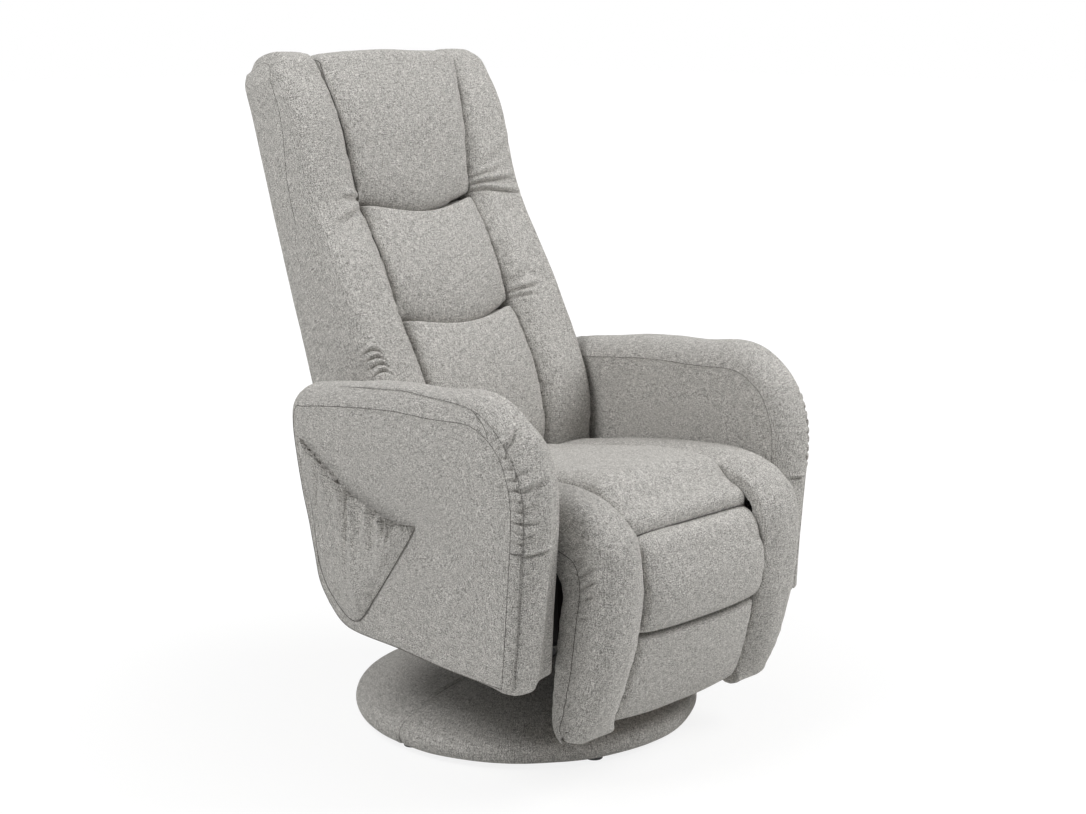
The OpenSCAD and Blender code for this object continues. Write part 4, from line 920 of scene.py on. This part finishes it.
def seat_bolster(side):
    """One long roll from the seat's rear over the knee to the leg rest's lower end."""
    us = dense(45, 0.3)
    crest = [(41.4, 432.0), (0.0, 439.5), (-55.0, 449.2), (-117.0, 457.3), (-186.0, 464.5), (-246.0, 468.0),
             (-295.0, 465.5), (-334.0, 456.5), (-370.0, 437.5), (-397.5, 406.0), (-406.5, 363.0)]
    fall = [6, 8, 10, 14, 18, 21, 24, 27, 30, 28, 27] if side < 0 else [6, 8, 10, 13, 15, 16, 16, 15, 14, 13, 12]
    leg_fall = [17, 16, 17, 18, 18, 16, 12] if side < 0 else [10, 9, 13, 17, 18, 16, 12]

    def inner(c, depth):
        """The inner side falls from the crest to the seam with the pads."""
        return -np.asarray(depth, float) * (1 - rise_from(c * 98, 44)) - 8.0 * c**2.2

    def face(c):
        rear = arc(BACK_HINGE, 88, 176, 142, 3)
        top = []
        for i, p in enumerate(crest):
            a = np.radians(90 + 90 * min(max((i - 5) / 5, 0), 1))
            top.append(np.array(p) + inner(c, fall[i]) * np.array([np.cos(a), np.sin(a)]))
        w = np.array([60, 100, 140, 180, 220, 252, 274.0])
        down = from_leg(leg_t(w) + leg_rise(w) + inner(c, leg_fall) + 4 * c**2.2, w)
        end = float(leg_t(274) + leg_rise(274))
        tip = from_leg(np.array([0.84, 0.56, 0.2]) * end, np.array([290, 303, 307.0]))
        return np.concatenate([rear, top, down, tip])

    def under(c):
        return np.concatenate([arc(BACK_HINGE, 88, 188, 214, 2), bend_under(302, lift=19)])

    def place(c, p):
        w = down_leg(p)
        low = 138.4 + np.where(w > 0, calf_x(w) - 138, 0)
        high = 236 - 1.0 * ramp(w, 60)
        return side_view(side * (low + c * (high - low)), p)

    def relief(c, f, d, a, b):
        return -roll(a, 4, 4)

    def step(p):
        return np.where((p[:, 1] > 300) & (p[:, 0] < -330), 1.7, 4.2)

    v = paced(face(0.8), step)
    m = len(v)
    low_w = np.array([78, 110, 160, 210, 240, 262, 280, 293, 300, 303.0])
    low_t = np.array([-25.0, -27.0, -26.0, -25.0, -24.0, -22.0, -18.0, -10.0, -1.0, 9.0])
    seat = [seat_point(a, 0) for a in SEAT_UNDER]
    bend = [[-281.0, 352.0], [-294.0, 346.0], [-303.0, 333.0]]
    foot = np.concatenate([arc(BACK_HINGE, 88, 188, 214, 2), seat, bend, from_leg(low_t, low_w)])
    wall = (foot, lambda p: side_view(side * 235.5, p), 235.5, 226.0, 2.0)
    loops = pad(us, face, under, place, v, high=(30, 24), relief=relief, wall=wall)
    across_k = np.concatenate([us, np.ones(len(loops) - len(us))])[:, None]
    loops = wrinkle(loops, m, 1.8, 81 + side, (60, 70, 70))
    loops = wrinkle(loops, m, 2.2, 85 + side, (60, 10, 10), np.exp(-across_k * 98 / 11))
    low_edge = bump(across_k - 1, 0.25) * ramp(v[None] - 0.45, 0.1)
    loops = wrinkle(loops, m, 1.4, 88 + side, (30, 14, 12), low_edge)
    # Puckers that run up from the wall's seam over the roll's outer edge, at the knee
    k = len(us) + 3
    reach = np.zeros((k + 1, m))
    for r in range(k - 1, -1, -1):
        reach[r] = reach[r + 1] + np.linalg.norm(loops[r, :m] - loops[r + 1, :m], axis=1)
    y, z = loops[: k + 1, :m, 1], loops[: k + 1, :m, 2]
    out = 0
    for z0, size, far, lean in ((392, 3.0, 26, 0.7), (371, 4.4, 34, 0.65), (352, 5.2, 44, 0.55), (335, 5.2, 42, 0.5),
                                (318, 4.8, 38, 0.35), (291, 4.2, 40, 0.15), (262, 2.4, 26, 0.1)):
        line = z - z0 - lean * reach
        fade = ramp(reach, 4) * ramp(far - reach, 20) * ramp(-318 - y, 10)
        out = out + size * fade * crease(line, 2.4, 0.6, 6.5, 4)
    loops[: k + 1, :m] += grid_normals(loops)[: k + 1, :m] * out[..., None]
    first = int(np.argmax(v > 0.40))
    loops[k, first:m, 0] -= side * 1.6
    thread_shade_line("carriage_leg", loops[k, first : int(m * 0.985)] + np.array([0.35 * side, 0, 0]), 0.5)
    nodes = [f"seat_bolster_{TAG[side]}", f"leg_bolster_{TAG[side]}"]
    dress(loft(f"seat_roll_{TAG[side]}", loops), "carriage", nodes, bend=ROLL_BEND)


# Arms

ARM = [
    (0.834, 0.117), (0.881, 0.202), (0.906, 0.324), (0.930, 0.450), (0.959, 0.576), (0.985, 0.730), (0.997, 0.850),
    (0.985, 0.927), (0.940, 0.940), (0.761, 0.971), (0.532, 0.998), (0.387, 1.000), (0.245, 1.000), (0.168, 0.989),
    (0.106, 0.952), (0.055, 0.900), (0.022, 0.825), (0.004, 0.737), (0.003, 0.605), (0.012, 0.446), (0.027, 0.204),
    (0.041, 0.000),
]
BAND = [0.2, 0.22, 0.25, 0.3, 0.36, 0.42, 0.55, 0.7, 0.76, 0.8, 0.84, 0.88, 1, 1, 0.95, 0.86, 0.76, 0.66, 0.64, 0.64,
        0.58, 0.45]
ARM_X, ARM_OUT = 245.0, 357.0
ARM_PULL = 9.0  # How far the cover is drawn in on an arm's right side


def arm_point(p):
    p = np.asarray(p, float)
    return points(-325 + p[..., 0] * 489, 203 + p[..., 1] * 377)


def arm_outline(n_top=560, n_low=50):
    """Closed outline of the arm's seam, the band's crown along it, the outward directions, and the shares along
    its top, which lie closer together down the front, where the gathers are."""
    top = arm_point(ARM)
    flat = np.linspace(0, 1, 2001)
    pace = np.cumsum(1 + 1.5 * ramp(flat - 0.65, 0.01) * ramp(0.85 - flat, 0.01))
    q = np.interp(np.linspace(pace[0], pace[-1], n_top), pace, flat)
    fine_v = np.linspace(0, 1, 600)
    fine = spline(top, fine_v)
    s = lengths(fine) / lengths(fine)[-1]
    v = np.interp(q, s, fine_v)
    line = spline(top, v)
    corner = np.gradient(line, axis=0)
    corner = points(corner[:, 1], -corner[:, 0]) / np.linalg.norm(corner, axis=1)[:, None]
    line = line + corner * (7.0 * bump(q - 0.655, 0.055))[:, None]
    band = 42 * spline(BAND, v) - 5.0 * bump(q - 0.655, 0.055)
    low = arm_point([(0.041, 0.0), (0.266, 0.003), (0.495, 0.021), (0.738, 0.037), (0.834, 0.117)])
    low_line = along(low, np.linspace(0, 1, n_low + 2))[1:-1]
    k = np.linspace(0, 1, n_low)
    low_band = 5 + (band[-1] - 5) * np.exp(-k * 14) + (band[0] - 5) * np.exp(-(1 - k) * 14)
    line = np.concatenate([line, low_line])
    band = np.concatenate([band, low_band])
    d = np.roll(line, -2, axis=0) - np.roll(line, 2, axis=0)
    n = points(d[:, 1], -d[:, 0]) / np.linalg.norm(d, axis=1)[:, None]
    return line, band, n, q


# The second seam's place across the band, and where the gathers and creases lie along it
SECOND_Q = [0, 0.36, 0.50, 0.55, 0.60, 0.635, 0.68, 0.71, 0.76, 0.84, 1.0]
SECOND_C = [0.58, 0.58, 0.62, 0.67, 0.77, 0.84, 0.90, 0.87, 0.81, 0.79, 0.76]
GATHERS = [0.676, 0.687, 0.699, 0.713, 0.726, 0.738, 0.751, 0.763, 0.777, 0.790, 0.803]
CREASES = [(0.693, -0.030, 6.0, 0.35, 3.0), (0.722, -0.006, 3.6, 0.50, 2.6), (0.742, -0.012, 5.0, 0.05, 2.8),
           (0.760, -0.008, 3.0, 0.45, 2.4), (0.778, 0.004, 3.6, 0.30, 2.4), (0.797, -0.020, 3.4, 0.40, 2.4),
           (0.820, -0.004, 4.6, -0.70, 2.2)]


def arm(side):
    """One arm's band cover and two pads, with their seams."""
    tag = TAG[side]
    line, band, n, top_share = arm_outline()
    mid = (ARM_X + ARM_OUT) / 2
    half = (ARM_OUT - ARM_X) / 2
    count = len(line)
    n_top = len(top_share)
    share = np.concatenate([top_share, np.full(count - n_top, -1.0)])
    # The band: rings across the arm, closed underneath
    cs = 2 * dense(75, 0.6) - 1
    run = lengths(np.concatenate([line, line[:1]]))[:-1]
    second = np.interp(share, SECOND_Q, SECOND_C)
    on_top = ramp(share, 0.08) * ramp(1 - share, 0.08)
    total = run[n_top - 1]

    def across(c):
        return side * (mid + c * half - ARM_PULL * side * max(0.0, c * side))

    rings = []
    for c in cs:
        h = band * (1 - abs(c) ** 2.3) ** 0.60
        # The band's cover is drawn tight over its right edge
        e = max(0.0, c * side)
        h = h * (1 - 0.68 * rise_from(e, 0.6)) - 4.0 * e**3 * on_top
        h = h - 3.0 * bump((c - second) * half, 2.0) * ramp(share - 0.34, 0.1)
        # Short gathers between the two seams down the front
        strip = np.clip((c - second + 0.04) * half / 3, 0, 1)
        for i, at in enumerate(GATHERS):
            h = h - (4.4 + 1.4 * (i % 3)) * strip * bump((share - at + 0.012 * (c - 0.9)) * total, 2.5)
        h = h + 2.2 * strip * ramp(share - 0.67, 0.01) * ramp(0.815 - share, 0.01)
        # Creases that run from them over the front, and the seam across it
        for at, lean, size, end, w in CREASES:
            line_at = (share - at - lean * (second - c)) * total
            fade = ramp(c - end, 0.3) * np.clip((second + 0.03 - c) * half / 2.5, 0, 1)
            h = h + size * fade * crease(line_at, w, 0.6, -2.6 * w, 1.7 * w)
        broad = noise(points(c, run / 70, 7.0), 92)
        h = h + 1.6 * broad * (1 - c * c)
        rings.append(points(across(c), *(line + n * h[:, None]).T))
    inner = [points(across(c), *(line - n * 5.2).T) for c in np.linspace(1, -1, 9)]
    loops = np.array(rings + inner + rings[:1])
    dress(loft(f"arm_band_cover_{tag}", loops, caps=False, sharp=55), "carriage", [f"arm_band_{tag}"])

    # The pads on the arm's two sides
    centre = line.mean(0)
    for which, x0, out, node, bulge in (
        ("outer", ARM_OUT - (ARM_PULL if side > 0 else 0), 1, f"arm_outer_pad_{tag}", 7.5),
        ("inner", ARM_X + (ARM_PULL if side < 0 else 0), -1, f"arm_inner_pad_{tag}", 2.5),
    ):
        rows = []
        edge_in = 0.8 + (4.0 * on_top[:, None] if out * side > 0 else 0)
        for inset in (0, 0.006, 0.014, 0.026, 0.045, 0.075, 0.12, 0.19, 0.29, 0.42, 0.57, 0.73, 0.88, 0.97, 0.9995):
            r = 1 - inset
            p = centre + (line - n * edge_in - centre) * r
            d = (1 - r) * np.linalg.norm(line - centre, axis=1)
            h = dome(p, r, bulge) + 3.0 - roll(d, 9, 4.2)
            ripple = noise(points(p[:, 0] / 60, p[:, 1] / 60, 2.0 + side + out), 95)
            gather = noise(points(run / 9, 5.0, 1.0), 96) * np.exp(-d / 14)
            x = x0 + out * (h - 3.0 + 1.2 * ripple * (1 - r) + 0.9 * gather)
            rows.append(points(side * x, p[:, 0], p[:, 1]))
        x = side * ((ARM_OUT if out > 0 else ARM_X) - out * 12.6)
        back = [points(x, *(centre + (line - n * 6 - centre) * r).T) for r in (0.0005, 1.0)]
        loops = np.array(rows + back + rows[:1])
        dress(loft(f"arm_{which}_cover_{tag}", loops, caps=False, sharp=55), "carriage", [node])
        edge = points(side * (x0 + out * 0.2), *(line - n * (edge_in - 0.8)).T)
        thread_shade_line("carriage", np.concatenate([edge, edge[:1]]), 0.42)
    if side > 0:
        return

    # The second seam along the band's top and front, with a leaf-shaped dart at the corner; their dark lines are
    # painted shade in the grooves
    def on_band(q, c):
        q = np.asarray(q, float)
        k = np.stack([np.interp(q, top_share, v[:n_top]) for v in (*line.T, *n.T, band)], -1)
        h = k[:, 4] * (1 - np.abs(c) ** 2.3) ** 0.60
        return points(side * (mid + c * half), k[:, 0] + k[:, 2] * h, k[:, 1] + k[:, 3] * h)

    q = np.linspace(0.36, 0.99, 160)
    thread_shade_line("carriage", on_band(q, np.interp(q, SECOND_Q, SECOND_C)), 0.32)
    c = np.linspace(0.79, 1.0, 12)
    thread_shade_line("carriage", on_band(np.full(12, 0.8165), c) - [0.3, 0.6, 0], 0.7)
    q = np.linspace(0.632, 0.668, 14)
    thread_shade_line("carriage", on_band(q, 0.84 + 0.155 * ((q - 0.632) / 0.036) ** 0.8), 0.5)


def dome(p, share, bulge):
    """Height of an arm pad's dome at the points p of the side view, share of the way from its middle to its edge."""
    a, b = (p[..., 0] + 130) / 225, (p[..., 1] - 400) / 165
    return bulge * (1 - share**6) * np.clip(1 - 0.6 * a * a, 0, 1) * np.clip(1 - 0.6 * b * b, 0, 1)


def on_outer_pad(p):
    """How far the arm's outer pad stands out of its seam's plane at the points p of the side view."""
    line, n = arm_outline(240, 40)[::2]
    line = line - n * 0.8
    centre = line.mean(0)
    polar = lambda q: (np.arctan2(q[..., 1], q[..., 0]), np.hypot(q[..., 0], q[..., 1]))
    a, r = polar(line - centre)
    order = np.argsort(a)
    at, dist = polar(p - centre)
    edge = np.interp(at, a[order], r[order], period=2 * np.pi)
    share = np.clip(dist / edge, 0, 1)
    return dome(p, share, 7.5) - roll(edge - dist, 9, 4.2)


def side_pocket():
    """Gathered pocket on the left arm's outer side."""
    mouth = [(0.955, 0.800), (0.865, 0.737), (0.736, 0.655), (0.656, 0.618), (0.522, 0.573), (0.466, 0.562),
             (0.396, 0.562)]
    seam = [(0.940, 0.720), (0.905, 0.480), (0.870, 0.250), (0.775, 0.110), (0.689, 0.082), (0.597, 0.210),
            (0.528, 0.321), (0.440, 0.472), (0.402, 0.545)]
    nu, nv = 330, 56
    a = np.linspace(0, 1, nu)
    top = arm_point(spline(mouth, a))
    low = arm_point(spline(seam, a))
    length = np.linalg.norm(low - top, axis=1)
    scallop = np.cumsum(1 + 0.5 * noise(points(a * 18, 0, 3), 97))
    scallop = np.cos(2 * np.pi * 24 * scallop / scallop[-1])
    folds = [(0.16, 0.06, 7.5, 0.020, 0.9), (0.27, 0.03, 9.5, 0.024, 1.0), (0.36, -0.03, 13.0, 0.022, 1.0),
             (0.43, 0.02, 11.5, 0.020, 1.0), (0.52, 0.03, 8.0, 0.018, 0.8), (0.60, 0.02, 9.5, 0.018, 0.75),
             (0.68, 0.00, 7.0, 0.016, 0.6), (0.75, -0.02, 8.0, 0.016, 0.6), (0.83, -0.02, 6.0, 0.015, 0.5),
             (0.90, 0, 4.0, 0.014, 0.4)]
    rows = []
    for k in np.linspace(0, 1, nv) ** 1.5:
        p = top + (low - top) * k
        d = k * length
        depth = 15.0 * np.maximum(np.sin(np.pi * a), 0) ** 0.5 * (k + 0.10) ** 0.30 * (1 - k) ** 0.75 * 1.25
        for at, shift, size, w, reach in folds:
            wide = 1.2 * w * (1 + 1.4 * k)
            fade = ramp(reach - k, 0.35) * np.clip(0.35 + k / 0.06, 0, 1)
            x = a - at - shift * k
            depth = depth + 1.2 * size * fade * crease(x, wide, 0.55, 2.3 * wide, 1.5 * wide)
        depth = depth * ramp(length, 40)
        depth = depth + (3.2 * scallop + 1.6) * np.exp(-d / 7.0) + 2.0 * scallop * np.exp(-d / 16.0)
        x = 357.6 + on_outer_pad(p) + np.maximum(depth, 0.3)
        q = points(-x, p[:, 0], p[:, 1])
        q[:, 2] += 2.2 * scallop * np.exp(-d / 6.0)
        rows.append(q)
    outer = np.array(rows)
    obj = dress(cloth("pocket_cloth", outer, outer + [1.8, 0, 0]), "carriage", ["side_pocket"])
    d1, d2 = np.diff(outer, axis=0)[:, :-1], np.diff(outer, axis=1)[:-1]
    area = float(np.linalg.norm(np.cross(d1, d2), axis=-1).sum()) * 1e-6
    thread_shade_line("carriage", points(-358.0 - on_outer_pad(low), *low.T), 0.7)
    thread_shade_line("carriage", outer[int(nv * 0.16)] + [-0.1, 0, 0], 0.35)


# Base

COVER = [(0.950, 0.095), (0.976, 0.130), (0.994, 0.215), (1.000, 0.310), (0.992, 0.415), (0.968, 0.500), (0.920, 0.575),
         (0.850, 0.665), (0.760, 0.770), (0.620, 0.880), (0.450, 0.955), (0.300, 0.985), (0.150, 1.000)]


def base_cover():
    """The disc's fabric cover, with a seam along X over the dome and top stitching on both sides of it."""
    prof = along([(r * 290, z * 93) for r, z in COVER], dense(70, 0.8))
    n_a = 240
    ang = np.linspace(0, 2 * np.pi, n_a, endpoint=False)
    t = np.gradient(prof, axis=0)
    nrm = points(t[:, 1], -t[:, 0]) / np.linalg.norm(t, axis=1)[:, None]
    loops = []
    for (r, z), (nr, nz) in zip(prof, nrm):
        x, y = r * np.cos(ang), r * np.sin(ang)
        d = np.abs(y)
        sink = -1.3 * bump(d, 2.4) + 0.6 * bump(d - 6, 4)
        sink = sink + 0.8 * noise(points(x / 60, y / 60, z / 60), 101)
        loops.append(points(x + sink * nr * np.cos(ang), y + sink * nr * np.sin(ang), z + sink * nz))
    inside = along([(r * 290 - 2.5, z * 93 - 2.5 * (z > 0.35)) for r, z in COVER[::-1]], np.linspace(0, 1, 12))
    for r, z in inside:
        loops.append(points(r * np.cos(ang), r * np.sin(ang), z))
    loops.append(loops[0])
    dress(loft("disc_cover", np.array(loops), caps=False, sharp=50), "base", ["base_cover"])
    keep = (prof[:, 0] > 46) & (prof[:, 1] > 12)
    line, out = prof[keep], nrm[keep]
    s = lengths(line)
    lift = 0.55 * np.sin(np.linspace(0, np.pi, 5)) + 0.35
    for way in (-1, 1):
        r, z = (line + out * -0.9).T
        thread_shade_line("base", points(way * r, 0, z), 0.5)
        for off in (-6.5, 6.5):
            at = 4.0
            while at + 4 < s[-1]:
                k = np.linspace(at, at + 4.2, 5)
                r, z = (np.interp(k, s, line[:, i]) + np.interp(k, s, out[:, i]) * lift for i in range(2))
                thread_shade_line("base_light", points(way * np.sqrt(np.maximum(r**2 - off**2, 0)), off, z), 0.45)
                at += 6.0


def dust_covers():
    """Thin black cloths stapled under the seat and behind the leg rest, with a little sag."""
    for name, node, body, x, place in (
        ("dust_cloth", "dust_cover", "carriage", 193.0, None),
        ("leg_back_cloth", "leg_cover", "leg_rest", 182.0, "leg"),
    ):
        lo, hi = (np.array(c) * 1000 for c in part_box(node))
        us, vs = np.linspace(-1, 1, 25), np.linspace(0, 1, 25)
        top, low = [], []
        for u in us:
            sag = (1 - u * u) * np.sin(np.pi * vs)
            rip = 0.5 * noise(points(u * 5, vs * 5, 4), 105)
            if place == "leg":
                w = 70 + 230 * vs
                p = from_leg(-15.6 - 0.9 * sag, w)
                q = from_leg(-16.2 - 0.9 * sag + 0.3 * rip * sag, w)
            else:
                y = lo[1] + (hi[1] - lo[1]) * vs
                p = points(y, hi[2] - 0.2 - 1.2 * sag)
                q = points(y, hi[2] - 0.9 - 3.0 * sag + rip * sag)
            top.append(side_view(x * u, p))
            low.append(side_view(x * u, q))
        loops = np.array([np.concatenate([a, b[::-1]]) for a, b in zip(top, low)])
        obj = dress(loft(name, loops), body, [node], slot="black_cloth")


back_panels()
for side in (-1, 1):
    back_bolster(side)
    seat_bolster(side)
    arm(side)
back_rear()
seat_cushion()
calf_cushion()
side_pocket()
base_cover()
dust_covers()
LIGHT_THREAD = cloth_material("Light_thread", (0.30, 0.29, 0.27), (0.42, 0.40, 0.38), (0.55, 0.53, 0.50), use_uv=False)
# The dark seam tubes are painted shade along the grooves; the disc's light stitches keep their own colour
for body, lines in THREAD_AND_SHADE_LINES.items():
    obj = tube_mesh(f"seams_{body}", lines)
    obj.data.materials.append(LIGHT_THREAD if body == "base_light" else DARK_THREAD_SHADE)
    if body == "carriage_leg":
        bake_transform(obj)
    else:
        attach(obj, body.replace("_light", ""))

# Camera, floor and lights

camera = bpy.data.objects.new("Camera", bpy.data.cameras.new("Camera"))
bpy.context.scene.collection.objects.link(camera)
camera.data.lens = 61.43
camera.data.sensor_width = 36
camera.location = (-2.13016, -2.11875, 1.14947)
AZ, DOWN = math.radians(44.304), math.radians(11.794)
look = Vector((math.cos(AZ) * math.cos(DOWN), math.sin(AZ) * math.cos(DOWN), -math.sin(DOWN)))
camera.rotation_euler = look.to_track_quat("-Z", "Y").to_euler()
bpy.context.scene.camera = camera


def background(name, colour, shadow):
    """A plain material that the camera and reflections see almost white, with the object's shadow kept."""
    m = Nodes(name)
    m.set(Base_Color=colour, Roughness=0.9)
    path = m.add("ShaderNodeLightPath").outputs
    seen = m.math("MAXIMUM", path["Is Camera Ray"], path["Is Glossy Ray"])
    # Near the object the floor's own shade shows, and further off it turns into the white background
    away = m.add("ShaderNodeVectorMath", operation="LENGTH")
    m.put(m.places(), away.inputs[0])
    fade = m.add("ShaderNodeMapRange", interpolation_type="SMOOTHSTEP")
    for socket, x in zip(fade.inputs, (away.outputs["Value"], 0.4, 1.4, shadow, 1.0)):
        m.put(x, socket)
    glow = m.add("ShaderNodeEmission", Color=(1, 1, 1), Strength=1.08)
    both = m.add("ShaderNodeMixShader")
    share = m.math("MULTIPLY", seen, fade.outputs[0])
    for socket, x in zip(both.inputs, (share, m.bsdf.outputs[0], glow.outputs[0])):
        m.put(x, socket)
    m.put(both.outputs[0], m.tree.nodes["Material Output"].inputs["Surface"])
    return m.mat


bpy.ops.mesh.primitive_plane_add(size=60, location=(0, 0, 0))
floor = bpy.context.object
floor.name = "floor"
floor.data.materials.append(background("Floor", (0.80, 0.80, 0.79), 0.79))

world = bpy.data.worlds.new("World")
bpy.context.scene.world = world
world.use_nodes = True
tree = world.node_tree
plain = tree.nodes["Background"]
plain.inputs["Color"].default_value = (1.0, 1.0, 1.0, 1)
plain.inputs["Strength"].default_value = 0.27
white = tree.nodes.new("ShaderNodeBackground")
white.inputs["Color"].default_value = (1, 1, 1, 1)
white.inputs["Strength"].default_value = 1.0
mixer = tree.nodes.new("ShaderNodeMixShader")
path = tree.nodes.new("ShaderNodeLightPath")
tree.links.new(path.outputs["Is Camera Ray"], mixer.inputs[0])
tree.links.new(plain.outputs[0], mixer.inputs[1])
tree.links.new(white.outputs[0], mixer.inputs[2])
tree.links.new(mixer.outputs[0], tree.nodes["World Output"].inputs["Surface"])


def area(name, at, to, size, power):
    """A round lamp at one place that shines toward another."""
    lamp = bpy.data.lights.new(name, "AREA")
    lamp.shape = "DISK"
    lamp.size = size
    lamp.energy = power
    obj = bpy.data.objects.new(name, lamp)
    bpy.context.scene.collection.objects.link(obj)
    obj.location = at
    obj.rotation_euler = (Vector(to) - Vector(at)).to_track_quat("-Z", "Y").to_euler()


area("Key", (1.6, -1.8, 2.4), (0, -0.05, 0.5), 1.8, 58)
area("High_left", (-2.4, 0.2, 3.0), (0, -0.05, 0.5), 1.6, 60)
area("Top", (0.0, 0.2, 3.4), (0, -0.05, 0.5), 1.6, 7)

bpy.context.scene.view_settings.view_transform = "Standard"
